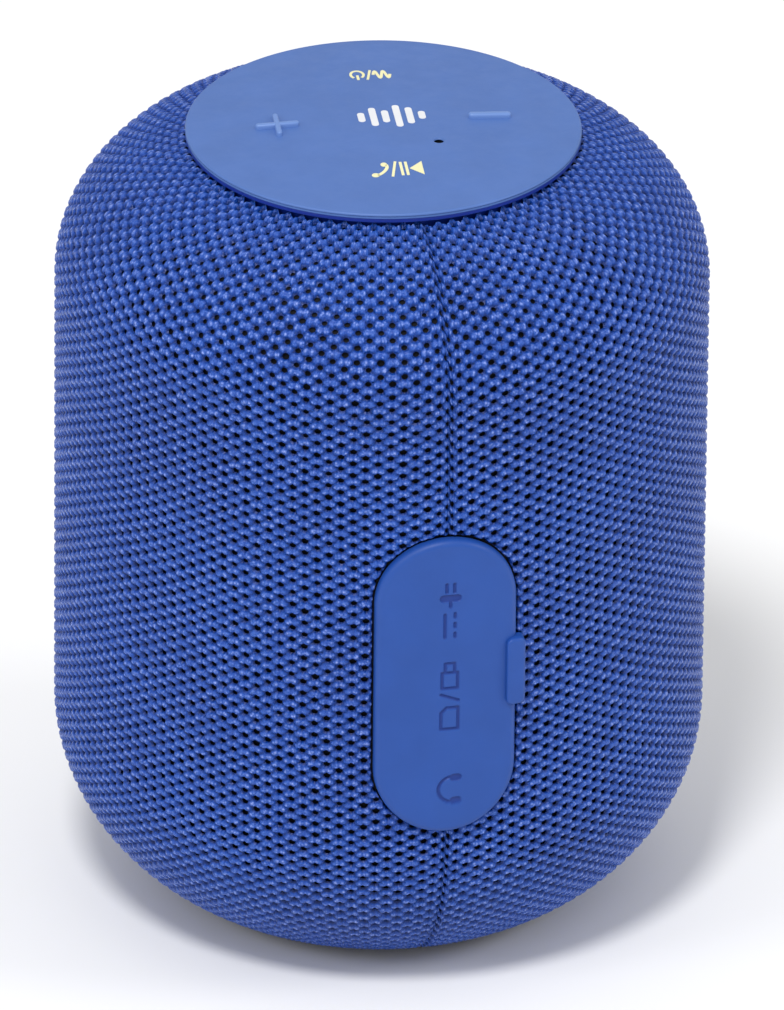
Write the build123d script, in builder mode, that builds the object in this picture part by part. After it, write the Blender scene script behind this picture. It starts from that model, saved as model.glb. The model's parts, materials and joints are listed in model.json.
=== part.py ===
"""Barrel-shaped portable speaker in a knitted sleeve, as an assembly of separate parts.

Row frame, in millimetres: +Z up, origin at the centre of the foot's underside. The ports, their
rubber flap and the sleeve's seam face -Y, and the loudspeaker faces +Y.
"""

import math
import os

from build123d import *

# ---- Barrel: a straight side between a crown and a heel, both quarter ellipses ----
BODY_RADIUS = 42.0  # outside of the knitted sleeve
SIDE_BOTTOM = 26.1
SIDE_TOP = 86.0
CROWN_WIDTH, CROWN_HEIGHT = 22.6, 19.7
HEEL_WIDTH, HEEL_HEIGHT = 33.6, 29.1
FAR = 60.0  # reach of cuts that run past everything

# ---- Sleeve and clamshell housing, as depths inside the sleeve's outer surface ----
SLEEVE_THICKNESS = 1.0
HOUSING_DEPTH = 1.1
HOUSING_WALL = 2.0
HOUSING_INSIDE = HOUSING_DEPTH + HOUSING_WALL
SLEEVE_TOP_OPENING = 24.6
SLEEVE_BASE_OPENING = 25.6
HOUSING_TOP_OPENING = 24.6
HOUSING_BASE_OPENING = 25.1
SPLIT_GAP = 0.1  # between the front and rear housings, at y = 0

# ---- Top: trim ring, silicone pad with four keys, and the key board under it ----
LEDGE_LOW, LEDGE_HIGH, LEDGE_OPENING = 99.8, 101.0, 21.6
TRIM_OUTER, TRIM_SKIRT_OUTER, TRIM_INNER = 25.2, 24.4, 23.2
TRIM_LIP_LOW, TRIM_SHELF = 105.25, 105.8
PAD_RADIUS, PAD_SPIGOT_RADIUS = 25.2, 23.0
PAD_BOTTOM, PAD_EDGE_TOP, PAD_DOME = 104.6, 106.45, 0.9
PAD_GROOVE_LOW, PAD_GROOVE_HIGH, PAD_GROOVE_DEPTH = 106.05, 106.15, 0.12
PAD_TURN = -4.5  # degrees that the pad's signs sit turned against the port side
PLATE_THICKNESS = 1.6
KEY_RING, KEY_RADIUS, KEY_GAP, KEY_RECESS = 13.6, 5.0, 0.1, 0.5
KEY_ANGLES = {"volume_down": 0, "power_mode": 90, "volume_up": 180, "play_call": 270}
SIGN_HEIGHT, SIGN_LENGTH, SIGN_WIDTH = 0.45, 5.6, 0.95
NUB_RADIUS, NUB_HOLE = 1.6, 2.2
BOARD_THICKNESS = 1.2
KEY_BOARD_RADIUS, KEY_BOARD_TOP = 20.6, 99.6
SWITCH_SIZE, SWITCH_HEIGHT = 6.0, 3.1
STEM_RADIUS, STEM_GAP, STEM_BOTTOM, STEM_TOP = 1.7, 0.1, 101.7, 103.9
STEM_WELL_FLOOR = 101.2
POST_RADIUS, POST_RING = 2.2, 17.0
POST_ANGLES = (45, 135, 225, 315)
MIC_RING, MIC_ANGLE, MIC_HOLE, MIC_RADIUS, MIC_HEIGHT = 8.9, -45, 0.6, 2.0, 2.0
MIC_BOOT_RADIUS = 2.8

# ---- Ports: bezel let into the rear housing, and the flap over it ----
PORT_Z = 48.0
FLAP_WIDTH, FLAP_HEIGHT = 18.2, 41.6
FLAP_UNDERSIDE, FLAP_FACE = 41.2, 42.9  # radii from the barrel's axis
FLAP_EDGE_FILLET = 0.8
SKIRT_WIDTH, SKIRT_HEIGHT, SKIRT_WALL, SKIRT_TIP = 14.8, 37.9, 1.2, 39.7
TAB_X, TAB_Z, TAB_WIDTH, TAB_HEIGHT = 8.95, 1.3, 2.5, 9.4  # centre from the flap's centre
TAB_UNDERSIDE, TAB_FACE = 42.3, 43.6
WINDOW_WIDTH, WINDOW_HEIGHT = 18.8, 42.2
BEZEL_WIDTH, BEZEL_HEIGHT = 18.6, 42.0
BEZEL_BACK, BEZEL_FACE = 36.4, 41.0
FLANGE_WIDTH, FLANGE_HEIGHT, FLANGE_FACE = 23.0, 46.1, 38.8
POCKET_WIDTH, POCKET_HEIGHT, POCKET_FLOOR = 15.4, 38.5, 38.5
TETHER_X, TETHER_WIDTH, TETHER_HEIGHT, TETHER_UNDERSIDE = -8.15, 1.3, 8.0, 40.0

# ---- Main board, standing in the YZ plane behind the bezel ----
BOARD_X, BOARD_WALL = -3.0, 1.6  # left face, and thickness
BOARD_FRONT, BOARD_BACK = -34.5, -8.0
BOARD_LOW, BOARD_HIGH = 29.0, 68.0
BOARD_FACE = BOARD_X + BOARD_WALL  # the side that most components stand on
SOCKET_MOUTH = -37.2
USB_Z, USB_WIDTH, USB_RISE, USB_DEPTH, USB_SHEET = 47.8, 13.2, 5.8, 14.0, 0.35
CHARGE_Z, CHARGE_WIDTH, CHARGE_RISE, CHARGE_DEPTH = 61.0, 7.8, 2.9, 5.5
CARD_Z, CARD_WIDTH, CARD_RISE, CARD_DEPTH = 47.8, 13.6, 1.5, 15.0
AUX_X, AUX_Z, AUX_SIZE, AUX_BORE, AUX_BORE_DEPTH = 1.6, 34.5, 6.0, 1.8, 12.0
AUX_MOUTH, AUX_NOSE, AUX_BODY_FRONT, AUX_BODY_BACK = -37.4, 2.9, -36.0, -24.0

# ---- Loudspeaker: its axis runs along +Y at this height ----
DRIVER_Z = 60.0
BAFFLE_BACK, BAFFLE_FRONT, BAFFLE_HOLE = 22.0, 24.0, 22.5
BAFFLE_LOW, BAFFLE_HIGH = 5.0, 97.0
DRIVER_RADIUS, EAR_RING, EAR_RADIUS = 26.0, 28.5, 3.2
FLANGE_BACK_Y, FLANGE_FRONT_Y = 20.0, 21.2
MAGNET_BACK = -3.0
EAR_ANGLES = (45, 135, 225, 315)
SOUND_SLOT_WIDTH, SOUND_SLOT_PITCH, SOUND_SLOT_ROWS, SOUND_RADIUS = 2.4, 4.4, 5, 23.5

# ---- Battery, lying across the base ----
CELL_RADIUS, CELL_LENGTH, CELL_Y, CELL_Z = 9.2, 65.0, 3.0, 20.5
TRAY_GAP, TRAY_WALL, TRAY_LENGTH = 0.2, 1.5, 56.0
STRAP_WIDTH, STRAP_WALL = 10.0, 1.0
STRAP_EAR_Y = 12.0  # from the cell's axis

# ---- Base: floor ring, base plate and foot ----
FLOOR_LOW, FLOOR_HIGH, FLOOR_OPENING = 4.2, 6.0, 15.0
BASE_BOTTOM, BASE_TOP, BASE_RADIUS = 0.9, 4.0, 24.9
FOOT_INNER, FOOT_OUTER, FOOT_HEIGHT, FOOT_GAP = 17.2, 22.3, 1.6, 0.05
BASE_SCREW_RING = 19.75
BASE_SCREW_ANGLES = (45, 135, 225, 315)
BOSS_RADIUS, BOSS_TOP = 3.0, 11.0

# ---- Fasteners ----
SCREW_RADIUS, PILOT_RADIUS, CLEAR_RADIUS = 1.1, 1.1, 1.3
HEAD_RADIUS, HEAD_HEIGHT = 2.1, 1.3
SIDE_BOSS_X, SIDE_BOSS_HEIGHTS, SIDE_BOSS_RADIUS = 36.2, (38.0, 78.0), 3.2
SIDE_BOSS_FRONT, SIDE_BOSS_BACK, SIDE_HEAD_SEAT = 10.0, -16.0, -8.0

DRIVER_AXIS = Axis((0, 0, DRIVER_Z), (0, 1, 0))
DRIVER_PLANE = Plane.XY.offset(DRIVER_Z)  # its x is the driver's radius, its y the axis
PORT_PLANE = Plane(origin=(0, 0, PORT_Z), x_dir=(1, 0, 0), z_dir=(0, -1, 0))

finished = {}


def finish(name, part):
    """Labels a finished piece and keeps it for export."""
    part.label = name
    finished[name] = part


def polar(radius, angle):
    """A point on the pad, in the plan view, that turns with the pad's signs."""
    turned = math.radians(angle + PAD_TURN)
    return (radius * math.cos(turned), radius * math.sin(turned))


def y_plane(y):
    """Plane facing +Y at this y, with its x along -X and its y along +Z."""
    return Plane(origin=(0, y, 0), x_dir=(-1, 0, 0), z_dir=(0, 1, 0))


def barrel_profile(depth):
    """Half section of the barrel, this far inside the sleeve's outer surface."""
    heel_x = BODY_RADIUS - HEEL_WIDTH
    crown_x = BODY_RADIUS - CROWN_WIDTH
    low = SIDE_BOTTOM - HEEL_HEIGHT + depth
    high = SIDE_TOP + CROWN_HEIGHT - depth
    side = BODY_RADIUS - depth
    heel_radii = (HEEL_WIDTH - depth, HEEL_HEIGHT - depth)
    crown_radii = (CROWN_WIDTH - depth, CROWN_HEIGHT - depth)
    with BuildSketch(Plane.XZ) as profile:
        with BuildLine():
            Line((0, low), (heel_x, low))
            EllipticalCenterArc((heel_x, SIDE_BOTTOM), *heel_radii, start_angle=-90, arc_size=90)
            Line((side, SIDE_BOTTOM), (side, SIDE_TOP))
            EllipticalCenterArc((crown_x, SIDE_TOP), *crown_radii, start_angle=0, arc_size=90)
            Line((crown_x, high), (0, high))
            Line((0, high), (0, low))
        make_face()
    return profile.sketch


def turned(points, axis=Axis.Z, plane=Plane.XZ):
    """Solid of revolution from a closed outline of straight runs."""
    with BuildPart() as solid:
        with BuildSketch(plane):
            with BuildLine():
                Polyline(*points, close=True)
            make_face()
        revolve(axis=axis)
    return solid.part


def driver_turned(points):
    """Solid of revolution about the loudspeaker's axis, from (radius, y) points."""
    return turned(points, axis=DRIVER_AXIS, plane=DRIVER_PLANE)


def disc(radius, low, high, centre=(0, 0)):
    """Upright cylinder between two heights."""
    with BuildPart() as solid:
        with BuildSketch(Plane.XY.offset(low)):
            with Locations(centre):
                Circle(radius)
        extrude(amount=high - low)
    return solid.part


def rod_y(radius, start, end, x, z):
    """Cylinder along Y between two values of y."""
    with BuildPart() as solid:
        with BuildSketch(y_plane(start)):
            with Locations((-x, z)):
                Circle(radius)
        extrude(amount=end - start)
    return solid.part


def block(low, high):
    """Box from its lowest and highest corners."""
    size = [b - a for a, b in zip(low, high)]
    with BuildPart() as solid:
        with BuildSketch(Plane.XY.offset(low[2])):
            with Locations(((low[0] + high[0]) / 2, (low[1] + high[1]) / 2)):
                Rectangle(size[0], size[1])
        extrude(amount=size[2])
    return solid.part


def barrel_slice(depth, low, high):
    """The part of a barrel between two heights, that far inside the sleeve."""
    with BuildPart() as solid:
        revolve(barrel_profile(depth), axis=Axis.Z)
        add(block((-FAR, -FAR, low), (FAR, FAR, high)), mode=Mode.INTERSECT)
    return solid.part


def on_barrel(sketch, inner, outer):
    """A port-side sketch as a plate that follows the barrel between two radii."""
    with BuildPart() as plate:
        extrude(sketch, amount=FAR)
        with BuildSketch(Plane.XY):
            Circle(outer)
            Circle(inner, mode=Mode.SUBTRACT)
        extrude(amount=2 * FAR, mode=Mode.INTERSECT)
    return plate.part


def stadium(width, height, inner, outer):
    """Upright slot-shaped plate around the port centre, between two radii."""
    with BuildSketch(PORT_PLANE) as outline:
        SlotOverall(height, width, rotation=90)
    return on_barrel(outline.sketch, inner, outer)


def wire(points, radii, radius):
    """Insulated wire along straight runs joined by tangent arcs."""
    with BuildPart() as solid:
        with BuildLine() as path:
            FilletPolyline(*points, radius=radii)
        with BuildSketch(Plane(origin=path.line @ 0, z_dir=path.line % 0)):
            Circle(radius)
        sweep()
    return solid.part


def tapping_screw(head_seat, length):
    """Pan-head screw along local +Z, with its head below the seat."""
    with BuildPart() as screw:
        with BuildSketch(Plane.XY.offset(head_seat)):
            Circle(SCREW_RADIUS)
        extrude(amount=length)
        with BuildSketch(Plane.XY.offset(head_seat - HEAD_HEIGHT)) as head:
            Circle(HEAD_RADIUS)
        extrude(amount=HEAD_HEIGHT)
        fillet(screw.faces().sort_by(Axis.Z)[0].edges(), 0.4)
        with BuildSketch(Plane.XY.offset(head_seat - HEAD_HEIGHT)):
            Rectangle(2.2, 0.5)
            Rectangle(0.5, 2.2)
        extrude(amount=0.7, mode=Mode.SUBTRACT)
    return screw.part


# ======================= Sleeve =======================
with BuildPart() as fabric_sleeve:
    revolve(barrel_profile(0), axis=Axis.Z)
    revolve(barrel_profile(SLEEVE_THICKNESS), axis=Axis.Z, mode=Mode.SUBTRACT)
    add(disc(SLEEVE_TOP_OPENING, SIDE_TOP, 2 * FAR), mode=Mode.SUBTRACT)
    add(disc(SLEEVE_BASE_OPENING, -FAR, SIDE_BOTTOM), mode=Mode.SUBTRACT)
    add(stadium(WINDOW_WIDTH, WINDOW_HEIGHT, BEZEL_BACK, FAR), mode=Mode.SUBTRACT)
finish("fabric_sleeve", fabric_sleeve.part)


# ======================= Clamshell housing =======================
def housing_shell():
    """Whole housing before it is split: wall, top ledge and floor ring."""
    with BuildPart() as shell:
        revolve(barrel_profile(HOUSING_DEPTH), axis=Axis.Z)
        revolve(barrel_profile(HOUSING_INSIDE), axis=Axis.Z, mode=Mode.SUBTRACT)
        add(barrel_slice(HOUSING_DEPTH + HOUSING_WALL / 2, LEDGE_LOW, LEDGE_HIGH))
        add(barrel_slice(HOUSING_DEPTH + HOUSING_WALL / 2, FLOOR_LOW, FLOOR_HIGH))
        add(disc(LEDGE_OPENING, SIDE_TOP, LEDGE_HIGH), mode=Mode.SUBTRACT)
        add(disc(HOUSING_TOP_OPENING, LEDGE_HIGH, 2 * FAR), mode=Mode.SUBTRACT)
        add(disc(FLOOR_OPENING, FLOOR_LOW, FLOOR_HIGH), mode=Mode.SUBTRACT)
        add(disc(HOUSING_BASE_OPENING, -FAR, FLOOR_LOW), mode=Mode.SUBTRACT)
        with BuildSketch(Plane.XY.offset(FLOOR_HIGH)):
            with PolarLocations(BASE_SCREW_RING, len(BASE_SCREW_ANGLES), start_angle=45):
                Circle(BOSS_RADIUS)
        extrude(amount=BOSS_TOP - FLOOR_HIGH)
        with BuildSketch(Plane.XY.offset(FLOOR_LOW)):
            with PolarLocations(BASE_SCREW_RING, len(BASE_SCREW_ANGLES), start_angle=45):
                Circle(PILOT_RADIUS)
        extrude(amount=BOSS_TOP - FLOOR_LOW, mode=Mode.SUBTRACT)
    return shell.part


def side_bosses():
    """Where the screws that join the two halves run, as (x, z)."""
    return [(side * SIDE_BOSS_X, z) for side in (-1, 1) for z in SIDE_BOSS_HEIGHTS]


whole_shell = housing_shell()
ears = [
    (EAR_RING * math.cos(math.radians(a)), DRIVER_Z + EAR_RING * math.sin(math.radians(a)))
    for a in EAR_ANGLES
]


def side_boss(start, end, x, z):
    """A boss against the side wall, kept inside the barrel."""
    with BuildPart() as boss:
        add(rod_y(SIDE_BOSS_RADIUS, start, end, x, z))
        revolve(
            barrel_profile(HOUSING_DEPTH + HOUSING_WALL / 2), axis=Axis.Z, mode=Mode.INTERSECT
        )
    return boss.part


with BuildPart() as front_housing:
    add(whole_shell)
    for x, z in side_bosses():
        add(side_boss(0, SIDE_BOSS_FRONT, x, z))
    with BuildPart(mode=Mode.PRIVATE) as baffle:
        revolve(barrel_profile(HOUSING_DEPTH + HOUSING_WALL / 2), axis=Axis.Z)
        add(
            block((-FAR, BAFFLE_BACK, BAFFLE_LOW), (FAR, BAFFLE_FRONT, BAFFLE_HIGH)),
            mode=Mode.INTERSECT,
        )
    add(baffle.part)
    add(rod_y(BAFFLE_HOLE, BAFFLE_BACK, BAFFLE_FRONT, 0, DRIVER_Z), mode=Mode.SUBTRACT)
    for x, z in ears:
        add(rod_y(2.6, BAFFLE_FRONT, BAFFLE_FRONT + 3, x, z))
        add(rod_y(PILOT_RADIUS, BAFFLE_BACK, BAFFLE_FRONT + 2.5, x, z), mode=Mode.SUBTRACT)
    # Sound slots, each as long as the round field of slots is wide at its height
    with BuildSketch(y_plane(BAFFLE_FRONT + 4)):
        for row in range(-SOUND_SLOT_ROWS, SOUND_SLOT_ROWS + 1):
            rise = row * SOUND_SLOT_PITCH
            length = 2 * math.sqrt(SOUND_RADIUS**2 - rise**2)
            with Locations((0, DRIVER_Z + rise)):
                SlotOverall(length, SOUND_SLOT_WIDTH)
    extrude(amount=FAR, mode=Mode.SUBTRACT)
    add(block((-FAR, -FAR, -FAR), (FAR, SPLIT_GAP / 2, 2 * FAR)), mode=Mode.SUBTRACT)
    for x, z in side_bosses():
        add(rod_y(PILOT_RADIUS, 0, SIDE_BOSS_FRONT - 1, x, z), mode=Mode.SUBTRACT)
finish("front_housing", front_housing.part)

with BuildPart() as rear_housing:
    add(whole_shell)
    for x, z in side_bosses():
        add(side_boss(SIDE_BOSS_BACK, 0, x, z))
    add(block((-FAR, -SPLIT_GAP / 2, -FAR), (FAR, FAR, 2 * FAR)), mode=Mode.SUBTRACT)
    add(stadium(WINDOW_WIDTH, WINDOW_HEIGHT, BEZEL_BACK, FAR), mode=Mode.SUBTRACT)
    for x, z in side_bosses():
        add(rod_y(CLEAR_RADIUS, SIDE_BOSS_BACK, 0, x, z), mode=Mode.SUBTRACT)
        add(rod_y(HEAD_RADIUS + 0.2, -FAR, SIDE_HEAD_SEAT, x, z), mode=Mode.SUBTRACT)
finish("rear_housing", rear_housing.part)

side_screw = tapping_screw(SIDE_HEAD_SEAT, 16)
with BuildPart() as housing_screws:
    for x, z in side_bosses():
        add(side_screw.moved(Location((x, 0, z), (-90, 0, 0))))
finish("housing_screws", housing_screws.part)


# ======================= Top: trim ring, pad and keys =======================
def dome_height(radius):
    """Height of the pad's domed top at this radius."""
    sphere = (PAD_RADIUS**2 + PAD_DOME**2) / (2 * PAD_DOME)
    return PAD_EDGE_TOP + PAD_DOME - sphere + math.sqrt(sphere**2 - radius**2)


def pad_blank():
    """The pad as moulded, before its key areas and its microphone hole."""
    mid = PAD_RADIUS / 2
    with BuildPart() as blank:
        with BuildSketch(Plane.XZ):
            with BuildLine():
                Polyline(
                    (0, PAD_EDGE_TOP + PAD_DOME),
                    (0, PAD_BOTTOM),
                    (PAD_SPIGOT_RADIUS, PAD_BOTTOM),
                    (PAD_SPIGOT_RADIUS, TRIM_SHELF),
                    (PAD_RADIUS, TRIM_SHELF),
                    (PAD_RADIUS, PAD_EDGE_TOP),
                )
                ThreePointArc(
                    (PAD_RADIUS, PAD_EDGE_TOP),
                    (mid, dome_height(mid)),
                    (0, PAD_EDGE_TOP + PAD_DOME),
                )
            make_face()
        revolve(axis=Axis.Z)
        circles = blank.edges().filter_by(GeomType.CIRCLE)
        rims = circles.filter_by(lambda edge: abs(edge.radius - PAD_RADIUS) < 0.01)
        fillet(rims.sort_by(Axis.Z)[-1], 0.3)
        # Fine groove round the edge
        with BuildSketch(Plane.XY.offset(PAD_GROOVE_LOW)):
            Circle(PAD_RADIUS + 1)
            Circle(PAD_RADIUS - PAD_GROOVE_DEPTH, mode=Mode.SUBTRACT)
        extrude(amount=PAD_GROOVE_HIGH - PAD_GROOVE_LOW, mode=Mode.SUBTRACT)
    return blank.part


top_trim_ring = turned(
    [
        (TRIM_INNER, LEDGE_HIGH),
        (TRIM_SKIRT_OUTER, LEDGE_HIGH),
        (TRIM_SKIRT_OUTER, TRIM_LIP_LOW),
        (TRIM_OUTER - 0.1, TRIM_LIP_LOW),
        (TRIM_OUTER, TRIM_LIP_LOW + 0.1),
        (TRIM_OUTER, TRIM_SHELF),
        (TRIM_INNER, TRIM_SHELF),
    ]
)
finish("top_trim_ring", top_trim_ring)

whole_pad = pad_blank()
with BuildPart() as button_pad:
    add(whole_pad)
    for angle in KEY_ANGLES.values():
        hole = disc(KEY_RADIUS + KEY_GAP, LEDGE_HIGH, FAR * 2, polar(KEY_RING, angle))
        add(hole, mode=Mode.SUBTRACT)
    mic_hole = disc(MIC_HOLE, LEDGE_HIGH, FAR * 2, polar(MIC_RING, MIC_ANGLE))
    add(mic_hole, mode=Mode.SUBTRACT)
finish("button_pad", button_pad.part)

for key, angle in KEY_ANGLES.items():
    place = polar(KEY_RING, angle)
    with BuildPart() as key_cap:
        add(whole_pad)
        add(disc(KEY_RADIUS, LEDGE_HIGH, FAR * 2, place), mode=Mode.INTERSECT)
        add(disc(NUB_RADIUS, STEM_TOP, PAD_BOTTOM, place))
        if key.startswith("volume"):
            with BuildSketch(Plane.XY.offset(PAD_EDGE_TOP)):
                with Locations(Location((*place, 0), (0, 0, PAD_TURN))):
                    SlotOverall(SIGN_LENGTH, SIGN_WIDTH)
                    if key == "volume_up":
                        SlotOverall(SIGN_LENGTH, SIGN_WIDTH, rotation=90)
            extrude(amount=dome_height(KEY_RING) + SIGN_HEIGHT - PAD_EDGE_TOP)
    finish(f"{key}_key", key_cap.part)
    stem = disc(STEM_RADIUS, STEM_BOTTOM, STEM_TOP, place)
    finish(f"{key}_switch_stem", stem)

with BuildPart() as top_plate:
    plate_low = PAD_BOTTOM - PLATE_THICKNESS
    add(disc(PAD_SPIGOT_RADIUS, plate_low, PAD_BOTTOM))
    with BuildSketch(Plane.XY.offset(LEDGE_HIGH)):
        Circle(PAD_SPIGOT_RADIUS)
        Circle(PAD_SPIGOT_RADIUS - 1.2, mode=Mode.SUBTRACT)
    extrude(amount=plate_low - LEDGE_HIGH)
    for angle in POST_ANGLES:
        add(disc(POST_RADIUS, KEY_BOARD_TOP, plate_low, polar(POST_RING, angle)))
        pilot = disc(0.8, KEY_BOARD_TOP, plate_low + 0.6, polar(POST_RING, angle))
        add(pilot, mode=Mode.SUBTRACT)
    for angle in KEY_ANGLES.values():
        place = polar(KEY_RING, angle)
        recess = disc(KEY_RADIUS + 0.6, PAD_BOTTOM - KEY_RECESS, PAD_BOTTOM, place)
        add(recess, mode=Mode.SUBTRACT)
        add(disc(NUB_HOLE, plate_low, PAD_BOTTOM, place), mode=Mode.SUBTRACT)
    mic_way = disc(1.0, plate_low, PAD_BOTTOM, polar(MIC_RING, MIC_ANGLE))
    add(mic_way, mode=Mode.SUBTRACT)
finish("top_plate", top_plate.part)

# ======================= Key board, its switches and microphone =======================
key_board_low = KEY_BOARD_TOP - BOARD_THICKNESS
with BuildPart() as key_board:
    add(disc(KEY_BOARD_RADIUS, key_board_low, KEY_BOARD_TOP))
    for angle in POST_ANGLES:
        bore = disc(1.0, key_board_low, KEY_BOARD_TOP, polar(POST_RING, angle))
        add(bore, mode=Mode.SUBTRACT)
finish("key_board", key_board.part)

with BuildPart() as tact_switches:
    for angle in KEY_ANGLES.values():
        place = polar(KEY_RING, angle)
        with BuildSketch(Plane.XY.offset(KEY_BOARD_TOP)):
            with Locations(Location((*place, 0), (0, 0, PAD_TURN))):
                RectangleRounded(SWITCH_SIZE, SWITCH_SIZE, 0.5)
        extrude(amount=SWITCH_HEIGHT)
        well = disc(STEM_RADIUS + STEM_GAP, STEM_WELL_FLOOR, FAR * 2, place)
        add(well, mode=Mode.SUBTRACT)
finish("tact_switches", tact_switches.part)

board_screw_parts = []
for angle in POST_ANGLES:
    place = polar(POST_RING, angle)
    board_screw_parts.append(disc(0.8, key_board_low, KEY_BOARD_TOP + 3, place))
    board_screw_parts.append(disc(1.7, key_board_low - 0.9, key_board_low, place))
with BuildPart() as key_board_screws:
    for piece in board_screw_parts:
        add(piece)
finish("key_board_screws", key_board_screws.part)

mic_place = polar(MIC_RING, MIC_ANGLE)
mic_top = KEY_BOARD_TOP + MIC_HEIGHT
finish("microphone", disc(MIC_RADIUS, KEY_BOARD_TOP, mic_top, mic_place))

with BuildPart() as mic_gasket:
    add(disc(MIC_BOOT_RADIUS, KEY_BOARD_TOP, PAD_BOTTOM - PLATE_THICKNESS, mic_place))
    add(disc(MIC_RADIUS, KEY_BOARD_TOP, mic_top, mic_place), mode=Mode.SUBTRACT)
    add(disc(0.9, mic_top, PAD_BOTTOM, mic_place), mode=Mode.SUBTRACT)
finish("mic_gasket", mic_gasket.part)


# ======================= Port bezel =======================
def port_hole(width, height, x, z, corner):
    """A rounded opening through the bezel's floor."""
    with BuildSketch(PORT_PLANE) as outline:
        with Locations((x, z - PORT_Z)):
            RectangleRounded(width, height, corner)
    return on_barrel(outline.sketch, SOCKET_FLOOR_BACK, FAR)


SOCKET_FLOOR_BACK = 30.0
usb_x = BOARD_FACE + USB_RISE / 2
charge_x = BOARD_FACE + CHARGE_RISE / 2
card_x = BOARD_X - CARD_RISE / 2
GUIDE_REACH, GUIDE_BACK = 4.0, -20.0
GUIDE_BITE, GUIDE_GROOVE_GAP = 1.5, 0.1

with BuildPart() as port_bezel:
    add(stadium(BEZEL_WIDTH, BEZEL_HEIGHT, BEZEL_BACK, BEZEL_FACE))
    add(stadium(FLANGE_WIDTH, FLANGE_HEIGHT, BEZEL_BACK, FLANGE_FACE))
    add(stadium(POCKET_WIDTH, POCKET_HEIGHT, POCKET_FLOOR, FAR), mode=Mode.SUBTRACT)
    board_mid = BOARD_X + BOARD_WALL / 2
    for edge, outward in ((BOARD_LOW, -1), (BOARD_HIGH, 1)):
        reach = sorted((edge - outward * GUIDE_BITE, edge + outward * (GUIDE_REACH - GUIDE_BITE)))
        add(
            block(
                (board_mid - GUIDE_REACH, -BEZEL_BACK - 0.3, reach[0]),
                (board_mid + GUIDE_REACH, GUIDE_BACK, reach[1]),
            )
        )
    add(
        block(
            (BOARD_X - GUIDE_GROOVE_GAP, BOARD_FRONT - GUIDE_GROOVE_GAP, BOARD_LOW - 0.05),
            (BOARD_FACE + GUIDE_GROOVE_GAP, GUIDE_BACK + 1, BOARD_HIGH + 0.05),
        ),
        mode=Mode.SUBTRACT,
    )
    add(port_hole(USB_RISE + 0.6, USB_WIDTH + 0.6, usb_x, USB_Z, 0.6), mode=Mode.SUBTRACT)
    add(
        port_hole(CHARGE_RISE + 0.6, CHARGE_WIDTH + 0.6, charge_x, CHARGE_Z, 0.8),
        mode=Mode.SUBTRACT,
    )
    add(port_hole(CARD_RISE + 0.5, CARD_WIDTH + 0.5, card_x, CARD_Z, 0.4), mode=Mode.SUBTRACT)
    add(rod_y(AUX_NOSE + 0.3, -FAR, -SOCKET_FLOOR_BACK, AUX_X, AUX_Z), mode=Mode.SUBTRACT)
    # Clearance behind the floor for the jack's square body
    add(
        block(
            (AUX_X - 3.2, AUX_BODY_FRONT - 0.2, AUX_Z - 3.2),
            (AUX_X + 3.2, -SOCKET_FLOOR_BACK, AUX_Z + 3.2),
        ),
        mode=Mode.SUBTRACT,
    )
    # Notch in the left lip for the flap's strap
    with BuildSketch(PORT_PLANE) as notch:
        with Locations((TETHER_X, 0)):
            Rectangle(TETHER_WIDTH + 0.2, TETHER_HEIGHT + 0.3)
        with Locations((TETHER_X + TETHER_WIDTH / 2, 0)):
            Rectangle(1.0, TETHER_HEIGHT + 0.3)
    add(on_barrel(notch.sketch, TETHER_UNDERSIDE - 0.05, FAR), mode=Mode.SUBTRACT)
finish("port_bezel", port_bezel.part)


# ======================= Flap =======================
def port_signs():
    """Generic signs for charging, storage and audio, reading upwards along the flap."""
    stroke = 0.42
    with BuildSketch(PORT_PLANE) as signs:
        # Charging: a solid bar over a dashed one, then a plug with two prongs
        with Locations((-0.3, 8.8)):
            Rectangle(stroke, 3.4)
        with Locations((1.1, 7.6), (1.1, 8.8), (1.1, 10.0)):
            Rectangle(stroke, 0.8)
        with Locations((0.4, 12.8)):
            Rectangle(2.2, 1.5)
        with Locations((-0.15, 14.2), (0.95, 14.2)):
            Rectangle(stroke, 1.4)
        with Locations((0.4, 11.6)):
            Rectangle(stroke, 1.2)
        # Storage: a memory card's outline, a slash and a memory stick
        with Locations((0.4, -4.3)):
            Rectangle(2.4, 3.2)
            Rectangle(2.4 - 2 * stroke, 3.2 - 2 * stroke, mode=Mode.SUBTRACT)
        with Locations(Location((0.4, -1.4, 0), (0, 0, -65))):
            Rectangle(stroke, 2.6)
        with Locations((0.4, 1.2)):
            Rectangle(2.2, 2.4)
            Rectangle(2.2 - 2 * stroke, 2.4 - 2 * stroke, mode=Mode.SUBTRACT)
        with Locations((0.4, 3.0)):
            Rectangle(1.3, 1.2)
        # Audio: a pair of headphones
        with Locations((0.7, -14.4)):
            Circle(1.9)
            Circle(1.9 - stroke, mode=Mode.SUBTRACT)
        with Locations((1.9, -14.4)):
            Rectangle(2.0, 4.4, mode=Mode.SUBTRACT)
        with Locations((1.3, -14.4 - 1.7), (1.3, -14.4 + 1.7)):
            Rectangle(1.5, 0.9)
    return signs.sketch


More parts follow.
